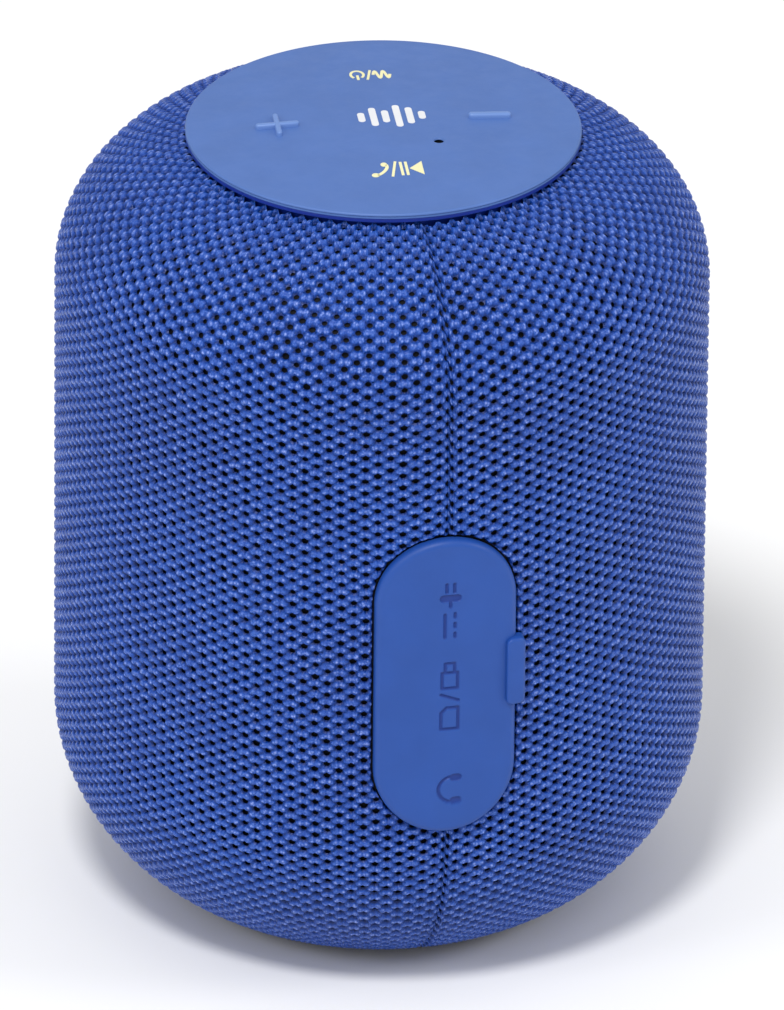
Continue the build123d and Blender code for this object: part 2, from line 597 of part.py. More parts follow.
SIGN_DEPTH = 0.22
with BuildPart() as port_flap:
    add(stadium(FLAP_WIDTH, FLAP_HEIGHT, FLAP_UNDERSIDE, FLAP_FACE))
    face = port_flap.faces().filter_by(GeomType.CYLINDER).sort_by(SortBy.RADIUS)[-1]
    fillet(face.edges(), FLAP_EDGE_FILLET)
    with BuildSketch(PORT_PLANE) as tab_outline:
        with Locations((TAB_X, TAB_Z)):
            RectangleRounded(TAB_WIDTH, TAB_HEIGHT, 0.7)
    add(on_barrel(tab_outline.sketch, TAB_UNDERSIDE, TAB_FACE))
    tab_face = port_flap.faces().filter_by(GeomType.CYLINDER).sort_by(SortBy.RADIUS)[-1]
    fillet(tab_face.edges(), 0.4)
    add(stadium(SKIRT_WIDTH, SKIRT_HEIGHT, SKIRT_TIP, FLAP_UNDERSIDE + 0.1))
    hollow = (SKIRT_WIDTH - 2 * SKIRT_WALL, SKIRT_HEIGHT - 2 * SKIRT_WALL)
    add(stadium(*hollow, SKIRT_TIP, FLAP_UNDERSIDE), mode=Mode.SUBTRACT)
    add(on_barrel(port_signs(), FLAP_FACE - SIGN_DEPTH, FLAP_FACE + 1), mode=Mode.SUBTRACT)
finish("port_flap", port_flap.part)

# The strap that keeps the flap on, lying in the bezel's notch under the flap's left edge
with BuildSketch(PORT_PLANE) as strap_outline:
    with Locations((TETHER_X, 0)):
        Rectangle(TETHER_WIDTH, TETHER_HEIGHT)
flap_tether = on_barrel(strap_outline.sketch, TETHER_UNDERSIDE, FLAP_UNDERSIDE)
finish("flap_tether", flap_tether)


# ======================= Main board and sockets =======================
finish(
    "main_board",
    block((BOARD_X, BOARD_FRONT, BOARD_LOW), (BOARD_FACE, BOARD_BACK, BOARD_HIGH)),
)


def socket_shell(x, z, rise, width, depth, sheet, corner):
    """Folded metal socket, open at its mouth, lying against the board."""
    with BuildPart() as shell:
        with BuildSketch(y_plane(SOCKET_MOUTH)):
            with Locations((-x, z)):
                RectangleRounded(rise, width, corner)
        extrude(amount=depth)
        with BuildSketch(y_plane(SOCKET_MOUTH)):
            with Locations((-x, z)):
                RectangleRounded(rise - 2 * sheet, width - 2 * sheet, corner * 0.6)
        extrude(amount=depth - sheet, mode=Mode.SUBTRACT)
    return shell.part


finish("usb_socket", socket_shell(usb_x, USB_Z, USB_RISE, USB_WIDTH, USB_DEPTH, USB_SHEET, 0.5))
usb_back = SOCKET_MOUTH + USB_DEPTH - USB_SHEET
with BuildPart() as usb_tongue:
    usb_half = USB_WIDTH / 2 - USB_SHEET
    usb_inner = (BOARD_FACE + USB_SHEET, BOARD_FACE + USB_RISE - USB_SHEET)
    add(
        block(
            (usb_inner[0], usb_back - 3, USB_Z - usb_half + 0.3),
            (usb_inner[1], usb_back, USB_Z + usb_half - 0.3),
        )
    )
    add(
        block(
            (usb_x + 0.2, usb_back - 11.5, USB_Z - 5.5), (usb_x + 2.0, usb_back - 3, USB_Z + 5.5)
        )
    )
finish("usb_tongue", usb_tongue.part)

charge_back = SOCKET_MOUTH + CHARGE_DEPTH
with BuildPart() as charging_socket:
    add(socket_shell(charge_x, CHARGE_Z, CHARGE_RISE, CHARGE_WIDTH, CHARGE_DEPTH, 0.3, 0.9))
    add(
        block(
            (charge_x - 0.35, SOCKET_MOUTH + 1.2, CHARGE_Z - 2.6),
            (charge_x + 0.35, charge_back - 0.2, CHARGE_Z + 2.6),
        )
    )
finish("charging_socket", charging_socket.part)
finish("card_slot", socket_shell(card_x, CARD_Z, CARD_RISE, CARD_WIDTH, CARD_DEPTH, 0.25, 0.3))

with BuildPart() as aux_jack:
    half = AUX_SIZE / 2
    add(
        block(
            (AUX_X - half, AUX_BODY_FRONT, AUX_Z - half), (AUX_X + half, AUX_BODY_BACK, AUX_Z + half)
        )
    )
    add(rod_y(AUX_NOSE, AUX_MOUTH, AUX_BODY_FRONT, AUX_X, AUX_Z))
    bore = rod_y(AUX_BORE, AUX_MOUTH, AUX_MOUTH + AUX_BORE_DEPTH, AUX_X, AUX_Z)
    add(bore, mode=Mode.SUBTRACT)
finish("aux_jack", aux_jack.part)

chip_low = BOARD_X - 0.9
with BuildPart() as board_chips:
    add(block((chip_low, -20, 55), (BOARD_X, -13, 62)))
    add(block((chip_low, -17, 40), (BOARD_X, -12, 45)))
    add(block((chip_low, -31, 33), (BOARD_X, -27, 36.4)))
finish("board_chips", board_chips.part)

with BuildPart() as board_capacitors:
    for z in (33.5, 39.5):
        with BuildSketch(Plane(origin=(BOARD_FACE, -14, z), z_dir=(1, 0, 0))):
            Circle(2.5)
        extrude(amount=5.4)
finish("board_capacitors", board_capacitors.part)

HEADER_FACE = BOARD_FACE + 4.0
with BuildPart() as wire_headers:
    for z in (46.5, 54.5):
        add(block((BOARD_FACE, -13, z - 2.5), (HEADER_FACE, -9.5, z + 2.5)))
finish("wire_headers", wire_headers.part)

RIBBON_X, RIBBON_Y, RIBBON_WIDTH = 0.2, -15.5, 6.0
with BuildPart() as ribbon_headers:
    add(block((BOARD_FACE, RIBBON_Y - 4, 62), (BOARD_FACE + 2, RIBBON_Y + 4, 66)))
    add(block((-1.5, RIBBON_Y - 3.6, key_board_low - 2), (2.0, RIBBON_Y + 3.6, key_board_low)))
finish("ribbon_headers", ribbon_headers.part)

with BuildPart() as key_ribbon:
    with BuildSketch(Plane.XZ.offset(-RIBBON_Y - RIBBON_WIDTH / 2)):
        with BuildLine():
            FilletPolyline(
                (BOARD_FACE + 1, 66),
                (BOARD_FACE + 1, 72),
                (5.5, 81),
                (RIBBON_X, 90),
                (RIBBON_X, key_board_low - 2),
                radius=4,
            )
        trace(line_width=0.3)
    extrude(amount=RIBBON_WIDTH)
finish("key_ribbon", key_ribbon.part)

# ======================= Battery =======================
CELL_PLANE = Plane(origin=(-CELL_LENGTH / 2, CELL_Y, CELL_Z), x_dir=(0, 1, 0), z_dir=(1, 0, 0))
with BuildPart() as battery_cell:
    with BuildSketch(CELL_PLANE):
        Circle(CELL_RADIUS)
    extrude(amount=CELL_LENGTH)
    fillet(battery_cell.edges().filter_by(GeomType.CIRCLE), 0.6)
finish("battery_cell", battery_cell.part)

tray_inner = CELL_RADIUS + TRAY_GAP
tray_outer = tray_inner + TRAY_WALL
tray_end = TRAY_LENGTH / 2
with BuildPart() as battery_tray:
    with BuildSketch(CELL_PLANE.offset((CELL_LENGTH - TRAY_LENGTH) / 2)):
        Circle(tray_outer)
    extrude(amount=TRAY_LENGTH)
    for x in (-22, 22):
        add(block((x - 1.5, CELL_Y - 8, FLOOR_HIGH), (x + 1.5, CELL_Y + 8, CELL_Z)))
    for side in (-1, 1):
        ear = sorted((CELL_Y + side * (tray_inner + 0.5), CELL_Y + side * (STRAP_EAR_Y + 2.2)))
        add(block((-STRAP_WIDTH / 2, ear[0], CELL_Z - 2), (STRAP_WIDTH / 2, ear[1], CELL_Z)))
        pilot = disc(0.8, CELL_Z - 2, CELL_Z, (0, CELL_Y + side * STRAP_EAR_Y))
        add(pilot, mode=Mode.SUBTRACT)
    with BuildSketch(CELL_PLANE):
        Circle(tray_inner)
    extrude(amount=CELL_LENGTH, mode=Mode.SUBTRACT)
    add(block((-FAR, -FAR, CELL_Z), (FAR, FAR, FAR)), mode=Mode.SUBTRACT)
finish("battery_tray", battery_tray.part)

strap_outer = CELL_RADIUS + 0.1 + STRAP_WALL
with BuildPart() as battery_strap:
    with BuildSketch(CELL_PLANE.offset((CELL_LENGTH - STRAP_WIDTH) / 2)):
        Circle(strap_outer)
        Circle(CELL_RADIUS + 0.1, mode=Mode.SUBTRACT)
    extrude(amount=STRAP_WIDTH)
    for side in (-1, 1):
        ear = sorted((CELL_Y + side * (strap_outer - 0.5), CELL_Y + side * (STRAP_EAR_Y + 2.2)))
        add(block((-STRAP_WIDTH / 2, ear[0], CELL_Z), (STRAP_WIDTH / 2, ear[1], CELL_Z + 1)))
        hole = disc(0.9, CELL_Z, CELL_Z + 1, (0, CELL_Y + side * STRAP_EAR_Y))
        add(hole, mode=Mode.SUBTRACT)
    add(block((-FAR, -FAR, -FAR), (FAR, FAR, CELL_Z)), mode=Mode.SUBTRACT)
finish("battery_strap", battery_strap.part)

with BuildPart() as strap_screws:
    for side in (-1, 1):
        place = (0, CELL_Y + side * STRAP_EAR_Y)
        add(disc(0.8, CELL_Z - 1.8, CELL_Z + 1, place))
        add(disc(1.6, CELL_Z + 1, CELL_Z + 1.9, place))
finish("strap_screws", strap_screws.part)

WIRE_RADIUS = 0.55
cell_end = CELL_LENGTH / 2
battery_positive = wire(
    [
        (HEADER_FACE, -11.3, 47.5),
        (10, -11.3, 47.5),
        (23, -8, 40),
        (33.5, -1, 30),
        (35.4, 3, CELL_Z),
        (cell_end, 3, CELL_Z),
    ],
    [4, 8, 5, 1.2],
    WIRE_RADIUS,
)
battery_negative = wire(
    [
        (HEADER_FACE, -11.3, 45.5),
        (7, -11.3, 45.5),
        (8.5, -12.5, 27),
        (-8, -13.5, 24.5),
        (-26, -10, 24),
        (-34.8, -8, 23),
        (-35.4, 3, CELL_Z),
        (-cell_end, 3, CELL_Z),
    ],
    [2, 5, 8, 6, 4, 1.2],
    WIRE_RADIUS,
)
with BuildPart() as battery_leads:
    add(battery_positive)
    add(battery_negative)
finish("battery_leads", battery_leads.part)

# ======================= Base =======================
with BuildPart() as base_plate:
    add(disc(BASE_RADIUS, BASE_BOTTOM, BASE_TOP))
    fillet(base_plate.edges().group_by(Axis.Z)[0], 0.3)
    with BuildSketch(Plane.XY.offset(BASE_BOTTOM)):
        Circle(FOOT_OUTER + FOOT_GAP)
        Circle(FOOT_INNER - FOOT_GAP, mode=Mode.SUBTRACT)
    extrude(amount=FOOT_HEIGHT - BASE_BOTTOM, mode=Mode.SUBTRACT)
    add(disc(FOOT_INNER - 3, 0, BASE_BOTTOM + 0.3), mode=Mode.SUBTRACT)
    for angle in BASE_SCREW_ANGLES:
        turn = math.radians(angle)
        place = (BASE_SCREW_RING * math.cos(turn), BASE_SCREW_RING * math.sin(turn))
        add(disc(CLEAR_RADIUS, 0, BASE_TOP, place), mode=Mode.SUBTRACT)
        add(disc(HEAD_RADIUS + 0.2, 0, FOOT_HEIGHT + HEAD_HEIGHT, place), mode=Mode.SUBTRACT)
finish("base_plate", base_plate.part)

base_screw = tapping_screw(FOOT_HEIGHT + HEAD_HEIGHT, 7)
with BuildPart() as base_screws:
    with PolarLocations(BASE_SCREW_RING, len(BASE_SCREW_ANGLES), start_angle=45):
        add(base_screw)
finish("base_screws", base_screws.part)

with BuildPart() as rubber_foot:
    with BuildSketch():
        Circle(FOOT_OUTER)
        Circle(FOOT_INNER, mode=Mode.SUBTRACT)
    extrude(amount=FOOT_HEIGHT)
    fillet(rubber_foot.edges().group_by(Axis.Z)[0], 0.35)
finish("rubber_foot", rubber_foot.part)

# ======================= Loudspeaker =======================
with BuildPart() as driver_basket:
    add(
        driver_turned(
            [
                (15.5, 9.5),
                (24.0, FLANGE_BACK_Y),
                (DRIVER_RADIUS, FLANGE_BACK_Y),
                (DRIVER_RADIUS, FLANGE_FRONT_Y),
                (22.6, FLANGE_FRONT_Y),
                (22.6, FLANGE_BACK_Y + 0.3),
                (21.9, 18.6),
                (15.4, 10.7),
                (13.6, 10.7),
                (13.2, 9.9),
                (8.2, 9.5),
                (8.2, 8.0),
                (15.5, 8.0),
            ]
        )
    )
    for x, z in ears:
        add(rod_y(EAR_RADIUS, FLANGE_BACK_Y, FLANGE_FRONT_Y, x, z))
        add(rod_y(CLEAR_RADIUS, FLANGE_BACK_Y, FLANGE_FRONT_Y, x, z), mode=Mode.SUBTRACT)
    # The ears stand on the flange only, clear of the cone's space
    add(rod_y(22.6, FLANGE_BACK_Y + 0.3, FLANGE_FRONT_Y, 0, DRIVER_Z), mode=Mode.SUBTRACT)
    # Six windows in the frame, between ribs
    with BuildSketch(Plane(origin=(0, 0, DRIVER_Z), x_dir=(1, 0, 0), z_dir=(0, -1, 0))):
        for step in range(6):
            with Locations(Rotation(0, 0, 60 * step)):
                with Locations((18.6, 0)):
                    RectangleRounded(4.2, 10.0, 1.2)
    extrude(amount=-18.5, mode=Mode.SUBTRACT)
finish("driver_basket", driver_basket.part)

MAGNET_FRONT, PLATE_FRONT, YOKE_FRONT = 5.5, 8.0, -0.5
finish(
    "driver_magnet",
    driver_turned(
        [(8.5, YOKE_FRONT), (15.5, YOKE_FRONT), (15.5, MAGNET_FRONT), (8.5, MAGNET_FRONT)]
    ),
)
finish(
    "driver_top_plate",
    driver_turned(
        [(7.15, MAGNET_FRONT), (14.0, MAGNET_FRONT), (14.0, PLATE_FRONT), (7.15, PLATE_FRONT)]
    ),
)
finish(
    "driver_yoke",
    driver_turned(
        [
            (0, MAGNET_BACK),
            (13.5, MAGNET_BACK),
            (14.0, MAGNET_BACK + 0.5),
            (14.0, YOKE_FRONT),
            (6.2, YOKE_FRONT),
            (6.2, PLATE_FRONT),
            (0, PLATE_FRONT),
        ]
    ),
)
finish("voice_coil", driver_turned([(6.45, 2.5), (6.85, 2.5), (6.85, 12.9), (6.45, 12.9)]))
finish(
    "driver_cone",
    driver_turned([(6.9, 12.0), (19.6, 18.6), (20.4, 18.6), (20.4, 19.0), (19.4, 19.0), (6.9, 12.5)]),
)

CAP_SPHERE, CAP_CENTRE_Y, CAP_HALF_ANGLE, CAP_WALL = 11.3, 4.5, 40.0, 0.4
with BuildPart() as dust_cap:
    with BuildSketch(DRIVER_PLANE):
        with BuildLine():
            outside = CenterArc((0, CAP_CENTRE_Y), CAP_SPHERE, 90, -CAP_HALF_ANGLE)
            inside = CenterArc((0, CAP_CENTRE_Y), CAP_SPHERE - CAP_WALL, 90, -CAP_HALF_ANGLE)
            Line(outside @ 0, inside @ 0)
            Line(outside @ 1, inside @ 1)
        make_face()
    revolve(axis=DRIVER_AXIS)
finish("dust_cap", dust_cap.part)

with BuildPart() as cone_surround:
    with BuildSketch(DRIVER_PLANE):
        with BuildLine():
            Line((19.45, 19.0), (20.4, 19.0))
            Line((20.4, 19.0), (20.7, 19.6))
            ThreePointArc((20.7, 19.6), (21.6, 20.6), (22.6, FLANGE_FRONT_Y))
            Line((22.6, FLANGE_FRONT_Y), (24.4, FLANGE_FRONT_Y))
            Line((24.4, FLANGE_FRONT_Y), (24.4, FLANGE_FRONT_Y + 0.4))
            Line((24.4, FLANGE_FRONT_Y + 0.4), (22.2, FLANGE_FRONT_Y + 0.4))
            ThreePointArc((22.2, FLANGE_FRONT_Y + 0.4), (20.8, 21.0), (19.45, 19.4))
            Line((19.45, 19.4), (19.45, 19.0))
        make_face()
    revolve(axis=DRIVER_AXIS)
finish("cone_surround", cone_surround.part)

with BuildPart() as spider:
    with BuildSketch(DRIVER_PLANE):
        with BuildLine() as corrugation:
            Spline((7.05, 11.0), (8.5, 11.6), (10.0, 11.0), (11.5, 11.6), (13.0, 11.0), (14.0, 10.9))
        trace(line_width=0.3)
    revolve(axis=DRIVER_AXIS)
finish("spider", spider.part)

finish(
    "driver_gasket",
    driver_turned(
        [
            (24.5, FLANGE_FRONT_Y),
            (DRIVER_RADIUS, FLANGE_FRONT_Y),
            (DRIVER_RADIUS, BAFFLE_BACK),
            (24.5, BAFFLE_BACK),
        ]
    ),
)

ear_screw = tapping_screw(FLANGE_BACK_Y, 5.5)
with BuildPart() as driver_screws:
    for x, z in ears:
        add(ear_screw.moved(Location((x, 0, z), (-90, 0, 0))))
finish("driver_screws", driver_screws.part)

finish("driver_terminals", block((24.1, 17.0, 57.0), (25.9, FLANGE_BACK_Y, 63.0)))

with BuildPart() as speaker_leads:
    for start_z, end_z in ((55.5, 61.0), (53.5, 59.0)):
        route = [
            (HEADER_FACE, -11.3, start_z),
            (10, -11.3, start_z),
            (22, -4, (start_z + end_z) / 2),
            (25, 6, end_z),
            (25, 17, end_z),
        ]
        add(wire(route, [8, 8, 6], WIRE_RADIUS))
finish("speaker_leads", speaker_leads.part)

# ======================= Export =======================
os.makedirs("parts", exist_ok=True)
for name, part in finished.items():
    export_step(part, f"parts/{name}.step")
print(len(finished), "parts")
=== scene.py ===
"""Portable speaker in a knitted sleeve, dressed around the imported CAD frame. Sizes in mm until MM."""

import json
import math

import bmesh
import bpy
import numpy as np
from mathutils import Matrix, Vector
from mathutils.geometry import delaunay_2d_cdt


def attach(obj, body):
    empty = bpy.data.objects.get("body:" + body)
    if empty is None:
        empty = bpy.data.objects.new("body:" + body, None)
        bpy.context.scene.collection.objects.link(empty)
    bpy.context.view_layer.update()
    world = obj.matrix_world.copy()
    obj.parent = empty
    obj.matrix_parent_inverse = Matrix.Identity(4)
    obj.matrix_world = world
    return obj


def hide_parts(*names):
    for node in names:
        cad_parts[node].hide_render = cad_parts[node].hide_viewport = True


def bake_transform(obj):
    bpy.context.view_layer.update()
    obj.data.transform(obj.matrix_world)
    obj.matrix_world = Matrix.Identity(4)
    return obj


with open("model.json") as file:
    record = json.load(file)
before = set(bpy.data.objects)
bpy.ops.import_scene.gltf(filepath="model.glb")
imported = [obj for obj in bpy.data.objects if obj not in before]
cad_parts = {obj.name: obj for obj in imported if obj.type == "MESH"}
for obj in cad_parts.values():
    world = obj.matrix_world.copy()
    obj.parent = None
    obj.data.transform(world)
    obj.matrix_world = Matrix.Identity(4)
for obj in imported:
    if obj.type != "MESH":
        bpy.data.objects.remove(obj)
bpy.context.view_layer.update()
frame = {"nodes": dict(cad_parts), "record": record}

MM = 0.001
rng = np.random.default_rng(11)
nodes = frame["nodes"]

# ======================= Camera =======================
CAMERA_AZIMUTH, CAMERA_ELEVATION, CAMERA_ROLL = -11.8, 27.3, 0.53
CAMERA_DISTANCE, CAMERA_LENS, CAMERA_SENSOR, CAMERA_SHIFT = 2.495, 693.0, 36.0, 0.0119
TARGET = Vector((0.0, 0.0, 0.0523))


def make_camera():
    """The photograph's viewpoint: a long lens, from a little above the port side."""
    a, e = math.radians(CAMERA_AZIMUTH), math.radians(CAMERA_ELEVATION)
    back = Vector((math.sin(a) * math.cos(e), -math.cos(a) * math.cos(e), math.sin(e)))
    right = Vector((math.cos(a), math.sin(a), 0))
    up = back.cross(right)
    turn = Matrix((right, up, back)).transposed().to_4x4()
    data = bpy.data.cameras.new("camera")
    data.lens, data.sensor_width, data.shift_x = CAMERA_LENS, CAMERA_SENSOR, CAMERA_SHIFT
    data.clip_start, data.clip_end = 0.05, 20.0
    cam = bpy.data.objects.new("camera", data)
    bpy.context.scene.collection.objects.link(cam)
    roll = Matrix.Rotation(math.radians(CAMERA_ROLL), 4, "Z")
    cam.matrix_world = Matrix.Translation(TARGET + back * CAMERA_DISTANCE) @ turn @ roll
    bpy.context.scene.camera = cam


make_camera()


# ======================= Mesh helpers =======================
def make_object(name, verts_mm, faces, normals=None, layers=None, material=None):
    """Object from arrays: vertices in mm, faces as one (n, k) array or a list, named UV layers."""
    mesh = bpy.data.meshes.new(name)
    blocks = faces if isinstance(faces, list) else [faces]
    corners = np.concatenate([b.ravel() for b in blocks]).astype(np.int32)
    sizes = np.concatenate([np.full(len(b), b.shape[1]) for b in blocks])
    starts = np.concatenate([[0], np.cumsum(sizes)[:-1]]).astype(np.int32)
    mesh.vertices.add(len(verts_mm))
    mesh.vertices.foreach_set("co", (np.asarray(verts_mm) * MM).astype(np.float32).ravel())
    mesh.loops.add(len(corners))
    mesh.loops.foreach_set("vertex_index", corners)
    mesh.polygons.add(len(sizes))
    mesh.polygons.foreach_set("loop_start", starts)
    mesh.polygons.foreach_set("use_smooth", np.ones(len(sizes), bool))
    for layer_name, values in (layers or {}).items():
        layer = mesh.uv_layers.new(name=layer_name)
        layer.data.foreach_set("uv", values[corners].astype(np.float32).ravel())
    mesh.update(calc_edges=True)
    mesh.validate()
    if normals is not None:
        mesh.normals_split_custom_set_from_vertices(normals.astype(np.float32))
    obj = bpy.data.objects.new(name, mesh)
    bpy.context.scene.collection.objects.link(obj)
    if material is not None:
        mesh.materials.append(material)
    return obj


def weld(obj, distance):
    """Joins points this close, in metres, and turns every face outwards."""
    work = bmesh.new()
    work.from_mesh(obj.data)
    bmesh.ops.remove_doubles(work, verts=work.verts, dist=distance)
    bmesh.ops.recalc_face_normals(work, faces=work.faces)
    work.to_mesh(obj.data)
    work.free()


def grid_faces(rows, cols, close_rows=False, close_cols=False):
    """Quads over a rows x cols array of vertices, joined round where asked."""
    r = np.arange(rows if close_rows else rows - 1)
    c = np.arange(cols if close_cols else cols - 1)
    rr, cc = np.meshgrid(r, c, indexing="ij")
    r1, c1 = (rr + 1) % rows, (cc + 1) % cols
    quads = (rr * cols + cc, rr * cols + c1, r1 * cols + c1, r1 * cols + cc)
    return np.stack(quads, -1).reshape(-1, 4)


def smoothstep(low, high, x):
    """0 below low, 1 above high, smooth between."""
    t = np.clip((x - low) / (high - low), 0, 1)
    return t * t * (3 - 2 * t)


# ======================= Materials =======================
class Shader:
    """Small builder of a node material around one Principled BSDF."""

    def __init__(self, name):
        self.material = bpy.data.materials.new(name)
        self.material.use_nodes = True
        self.tree = self.material.node_tree
        self.bsdf = self.tree.nodes["Principled BSDF"]

    def node(self, kind, **values):
        made = self.tree.nodes.new(kind)
        for key, value in values.items():
            setattr(made, key, value)
        return made

    def link(self, source, target):
        self.tree.links.new(source, target)

    def put(self, **values):
        """Values on the shader's own sockets, by name with _ for a space."""
        for key, value in values.items():
            self.bsdf.inputs[key.replace("_", " ")].default_value = value
        return self

    def feed(self, socket, value):
        """Links a socket or sets a number."""
        if isinstance(value, bpy.types.NodeSocket):
            self.link(value, socket)
        else:
            socket.default_value = value

    def math(self, operation, a, b=0.0, c=0.0):
        made = self.node("ShaderNodeMath", operation=operation)
        for socket, value in zip(made.inputs, (a, b, c)):
            self.feed(socket, value)
        return made.outputs[0]

    def noise(self, scale, detail=3.0, rough=0.5, vector=None, distortion=0.0):
        """Noise value at this scale, on object coordinates unless told otherwise."""
        made = self.node("ShaderNodeTexNoise")
        made.inputs["Scale"].default_value = scale
        made.inputs["Detail"].default_value = detail
        made.inputs["Roughness"].default_value = rough
        made.inputs["Distortion"].default_value = distortion
        self.link(vector or self.coords(), made.inputs["Vector"])
        return made.outputs["Fac"]

    def coords(self, scale=None):
        """Object coordinates, stretched if a scale is given."""
        where = self.node("ShaderNodeTexCoord").outputs["Object"]
        if scale is None:
            return where
        mapping = self.node("ShaderNodeMapping")
        mapping.inputs["Scale"].default_value = scale
        self.link(where, mapping.inputs["Vector"])
        return mapping.outputs["Vector"]

    def ramp(self, value, *stops):
        """Colour ramp through (position, colour) stops."""
        made = self.node("ShaderNodeValToRGB")
        ramp = made.color_ramp
        while len(ramp.elements) < len(stops):
            ramp.elements.new(0.5)
        for element, (position, colour) in zip(ramp.elements, stops):
            element.position = position
            element.color = (*colour, 1.0) if len(colour) == 3 else colour
        self.link(value, made.inputs["Fac"])
        return made.outputs["Color"]

    def mix(self, share, colour, other):
        """Colour socket blended towards another colour by a share socket."""
        made = self.node("ShaderNodeMix", data_type="RGBA")
        self.link(share, made.inputs["Factor"])
        self.link(colour, made.inputs[6])
        made.inputs[7].default_value = (*other, 1.0)
        return made.outputs[2]

    def layer_value(self, layer):
        """First value of a UV layer."""
        split = self.node("ShaderNodeSeparateXYZ")
        self.link(self.node("ShaderNodeUVMap", uv_map=layer).outputs["UV"], split.inputs[0])
        return split.outputs[0]

    def remap(self, value, low, high, out_low, out_high):
        """Value carried from one range to another."""
        made = self.node("ShaderNodeMapRange")
        self.feed(made.inputs["Value"], value)
        for key, number in zip(("From Min", "From Max", "To Min", "To Max"), (low, high, out_low, out_high)):
            made.inputs[key].default_value = number
        return made.outputs["Result"]

    def bump(self, height, strength, distance, below=None):
        made = self.node("ShaderNodeBump")
        made.inputs["Strength"].default_value = strength
        made.inputs["Distance"].default_value = distance
        self.link(height, made.inputs["Height"])
        if below is not None:
            self.link(below, made.inputs["Normal"])
        return made.outputs["Normal"]


def moulded(name, colour, roughness=0.45, grain=3e3, depth=4e-5, spread=0.12, sunk=None, shine=0.5):
    """Moulded surface: fine grain, faint mottling and uneven gloss, and painted shade where sunk, when a
    shade colour is given.
    """
    s = Shader(name)
    mottle = s.noise(180, 4, 0.55)
    light = tuple(min(1.0, c * (1 + spread)) for c in colour)
    dark = tuple(c * (1 - spread) for c in colour)
    tint = s.ramp(mottle, (0.3, dark), (0.7, light))
    # Painted shade: sunk places take the darker colour.
    if sunk is not None:
        tint = s.mix(s.layer_value("sunk"), tint, sunk)
    s.link(tint, s.bsdf.inputs["Base Color"])
    gloss = s.noise(420, 3, 0.6)
    s.link(s.remap(gloss, 0.3, 0.7, roughness - 0.06, roughness + 0.06), s.bsdf.inputs["Roughness"])
    fine = s.noise(grain, 2, 0.5)
    s.link(s.bump(fine, 0.35, depth), s.bsdf.inputs["Normal"])
    s.put(Specular_IOR_Level=shine)
    return s.material


def brushed(name, colour, roughness, direction):
    """Metal with fine lines along one axis."""
    s = Shader(name)
    lines = s.noise(1.0, 2, 0.6, s.coords(direction))
    light = tuple(min(1.0, c * 1.08) for c in colour)
    dark = tuple(c * 0.86 for c in colour)
    s.link(s.ramp(lines, (0.3, dark), (0.7, light)), s.bsdf.inputs["Base Color"])
    s.link(s.remap(lines, 0.3, 0.7, roughness - 0.07, roughness + 0.08), s.bsdf.inputs["Roughness"])
    s.link(s.bump(lines, 0.2, 0.00003), s.bsdf.inputs["Normal"])
    s.put(Metallic=1.0)
    return s.material


# Yarn tones from dark to light; the dark end is partly painted shade in the valleys, partly random tone of
# the yarn.
KNIT_DARK, KNIT_MIDDLE, KNIT_LIGHT = (0.001, 0.016, 0.12), (0.005, 0.055, 0.34), (0.022, 0.13, 0.56)
# Painted highlight colour for the glints on the lobes' crests.
KNIT_PAINTED_GLINT = (0.42, 0.5, 0.96)
# Relief bounds in mm: low to crest for the painted shade, shine to crest for the painted highlight.
RELIEF_LOW, RELIEF_SHINE, RELIEF_CREST = -0.36, -0.12, 0.06  # mm, as stitch_relief gives it


def knit_material():
    """Glossy multi-filament yarn with twisted plies along each lobe, a painted highlight on the crests and
    painted shade in the valleys.
    """
    s = Shader("knit_yarn")
    uv = s.node("ShaderNodeUVMap", uv_map="knit").outputs["UV"]
    relief = s.layer_value("relief")
    # Relief from 0 in the valleys to 1 on the crests: it paints shade into the valleys through the tone
    # below.
    height = s.remap(relief, RELIEF_LOW, RELIEF_CREST, 0.0, 1.0)
    stretch = s.node("ShaderNodeMapping")
    stretch.inputs["Scale"].default_value = (9.0, 6.0, 1.0)
    s.link(uv, stretch.inputs["Vector"])
    filament = s.noise(1.0, 3, 0.65, stretch.outputs["Vector"], 0.8)
    beads = s.node("ShaderNodeTexVoronoi", feature="SMOOTH_F1")
    beads.inputs["Scale"].default_value = 3.6
    beads.inputs["Smoothness"].default_value = 0.3
    beads.inputs["Randomness"].default_value = 0.7
    s.link(uv, beads.inputs["Vector"])
    ply = s.math("SUBTRACT", 1.0, beads.outputs["Distance"])
    patch = s.noise(60, 3, 0.5)
    # Tone: random filament, patch and ply variation, plus painted shade where the relief is low.
    tone = s.math("ADD", s.math("MULTIPLY", filament, 0.3), s.math("MULTIPLY", height, 0.5))
    tone = s.math("ADD", tone, s.math("MULTIPLY", patch, 0.2))
    tone = s.math("ADD", tone, s.math("MULTIPLY", ply, 0.3))
    tone = s.math("SUBTRACT", tone, 0.25)
    colour = s.ramp(tone, (0.08, KNIT_DARK), (0.45, KNIT_MIDDLE), (0.8, KNIT_LIGHT))
    # Painted highlight: glint colour mixed onto the lobes' crests, broken up by plies and filaments.
    crest = s.math(
        "MULTIPLY", s.remap(relief, RELIEF_SHINE, RELIEF_CREST, 0.0, 1.0), s.remap(ply, 0.45, 0.85, 0.1, 1.0)
    )
    crest = s.math("MULTIPLY", crest, s.remap(filament, 0.35, 0.6, 0.35, 1.0))
    s.link(s.mix(crest, colour, KNIT_PAINTED_GLINT), s.bsdf.inputs["Base Color"])
    s.link(s.remap(filament, 0.3, 0.7, 0.2, 0.38), s.bsdf.inputs["Roughness"])
    first = s.bump(ply, 0.8, 0.0003)
    s.link(s.bump(filament, 0.6, 0.0001, first), s.bsdf.inputs["Normal"])
    s.put(Specular_IOR_Level=0.45, Specular_Tint=(0.65, 0.7, 1.0, 1.0))
    return s.material


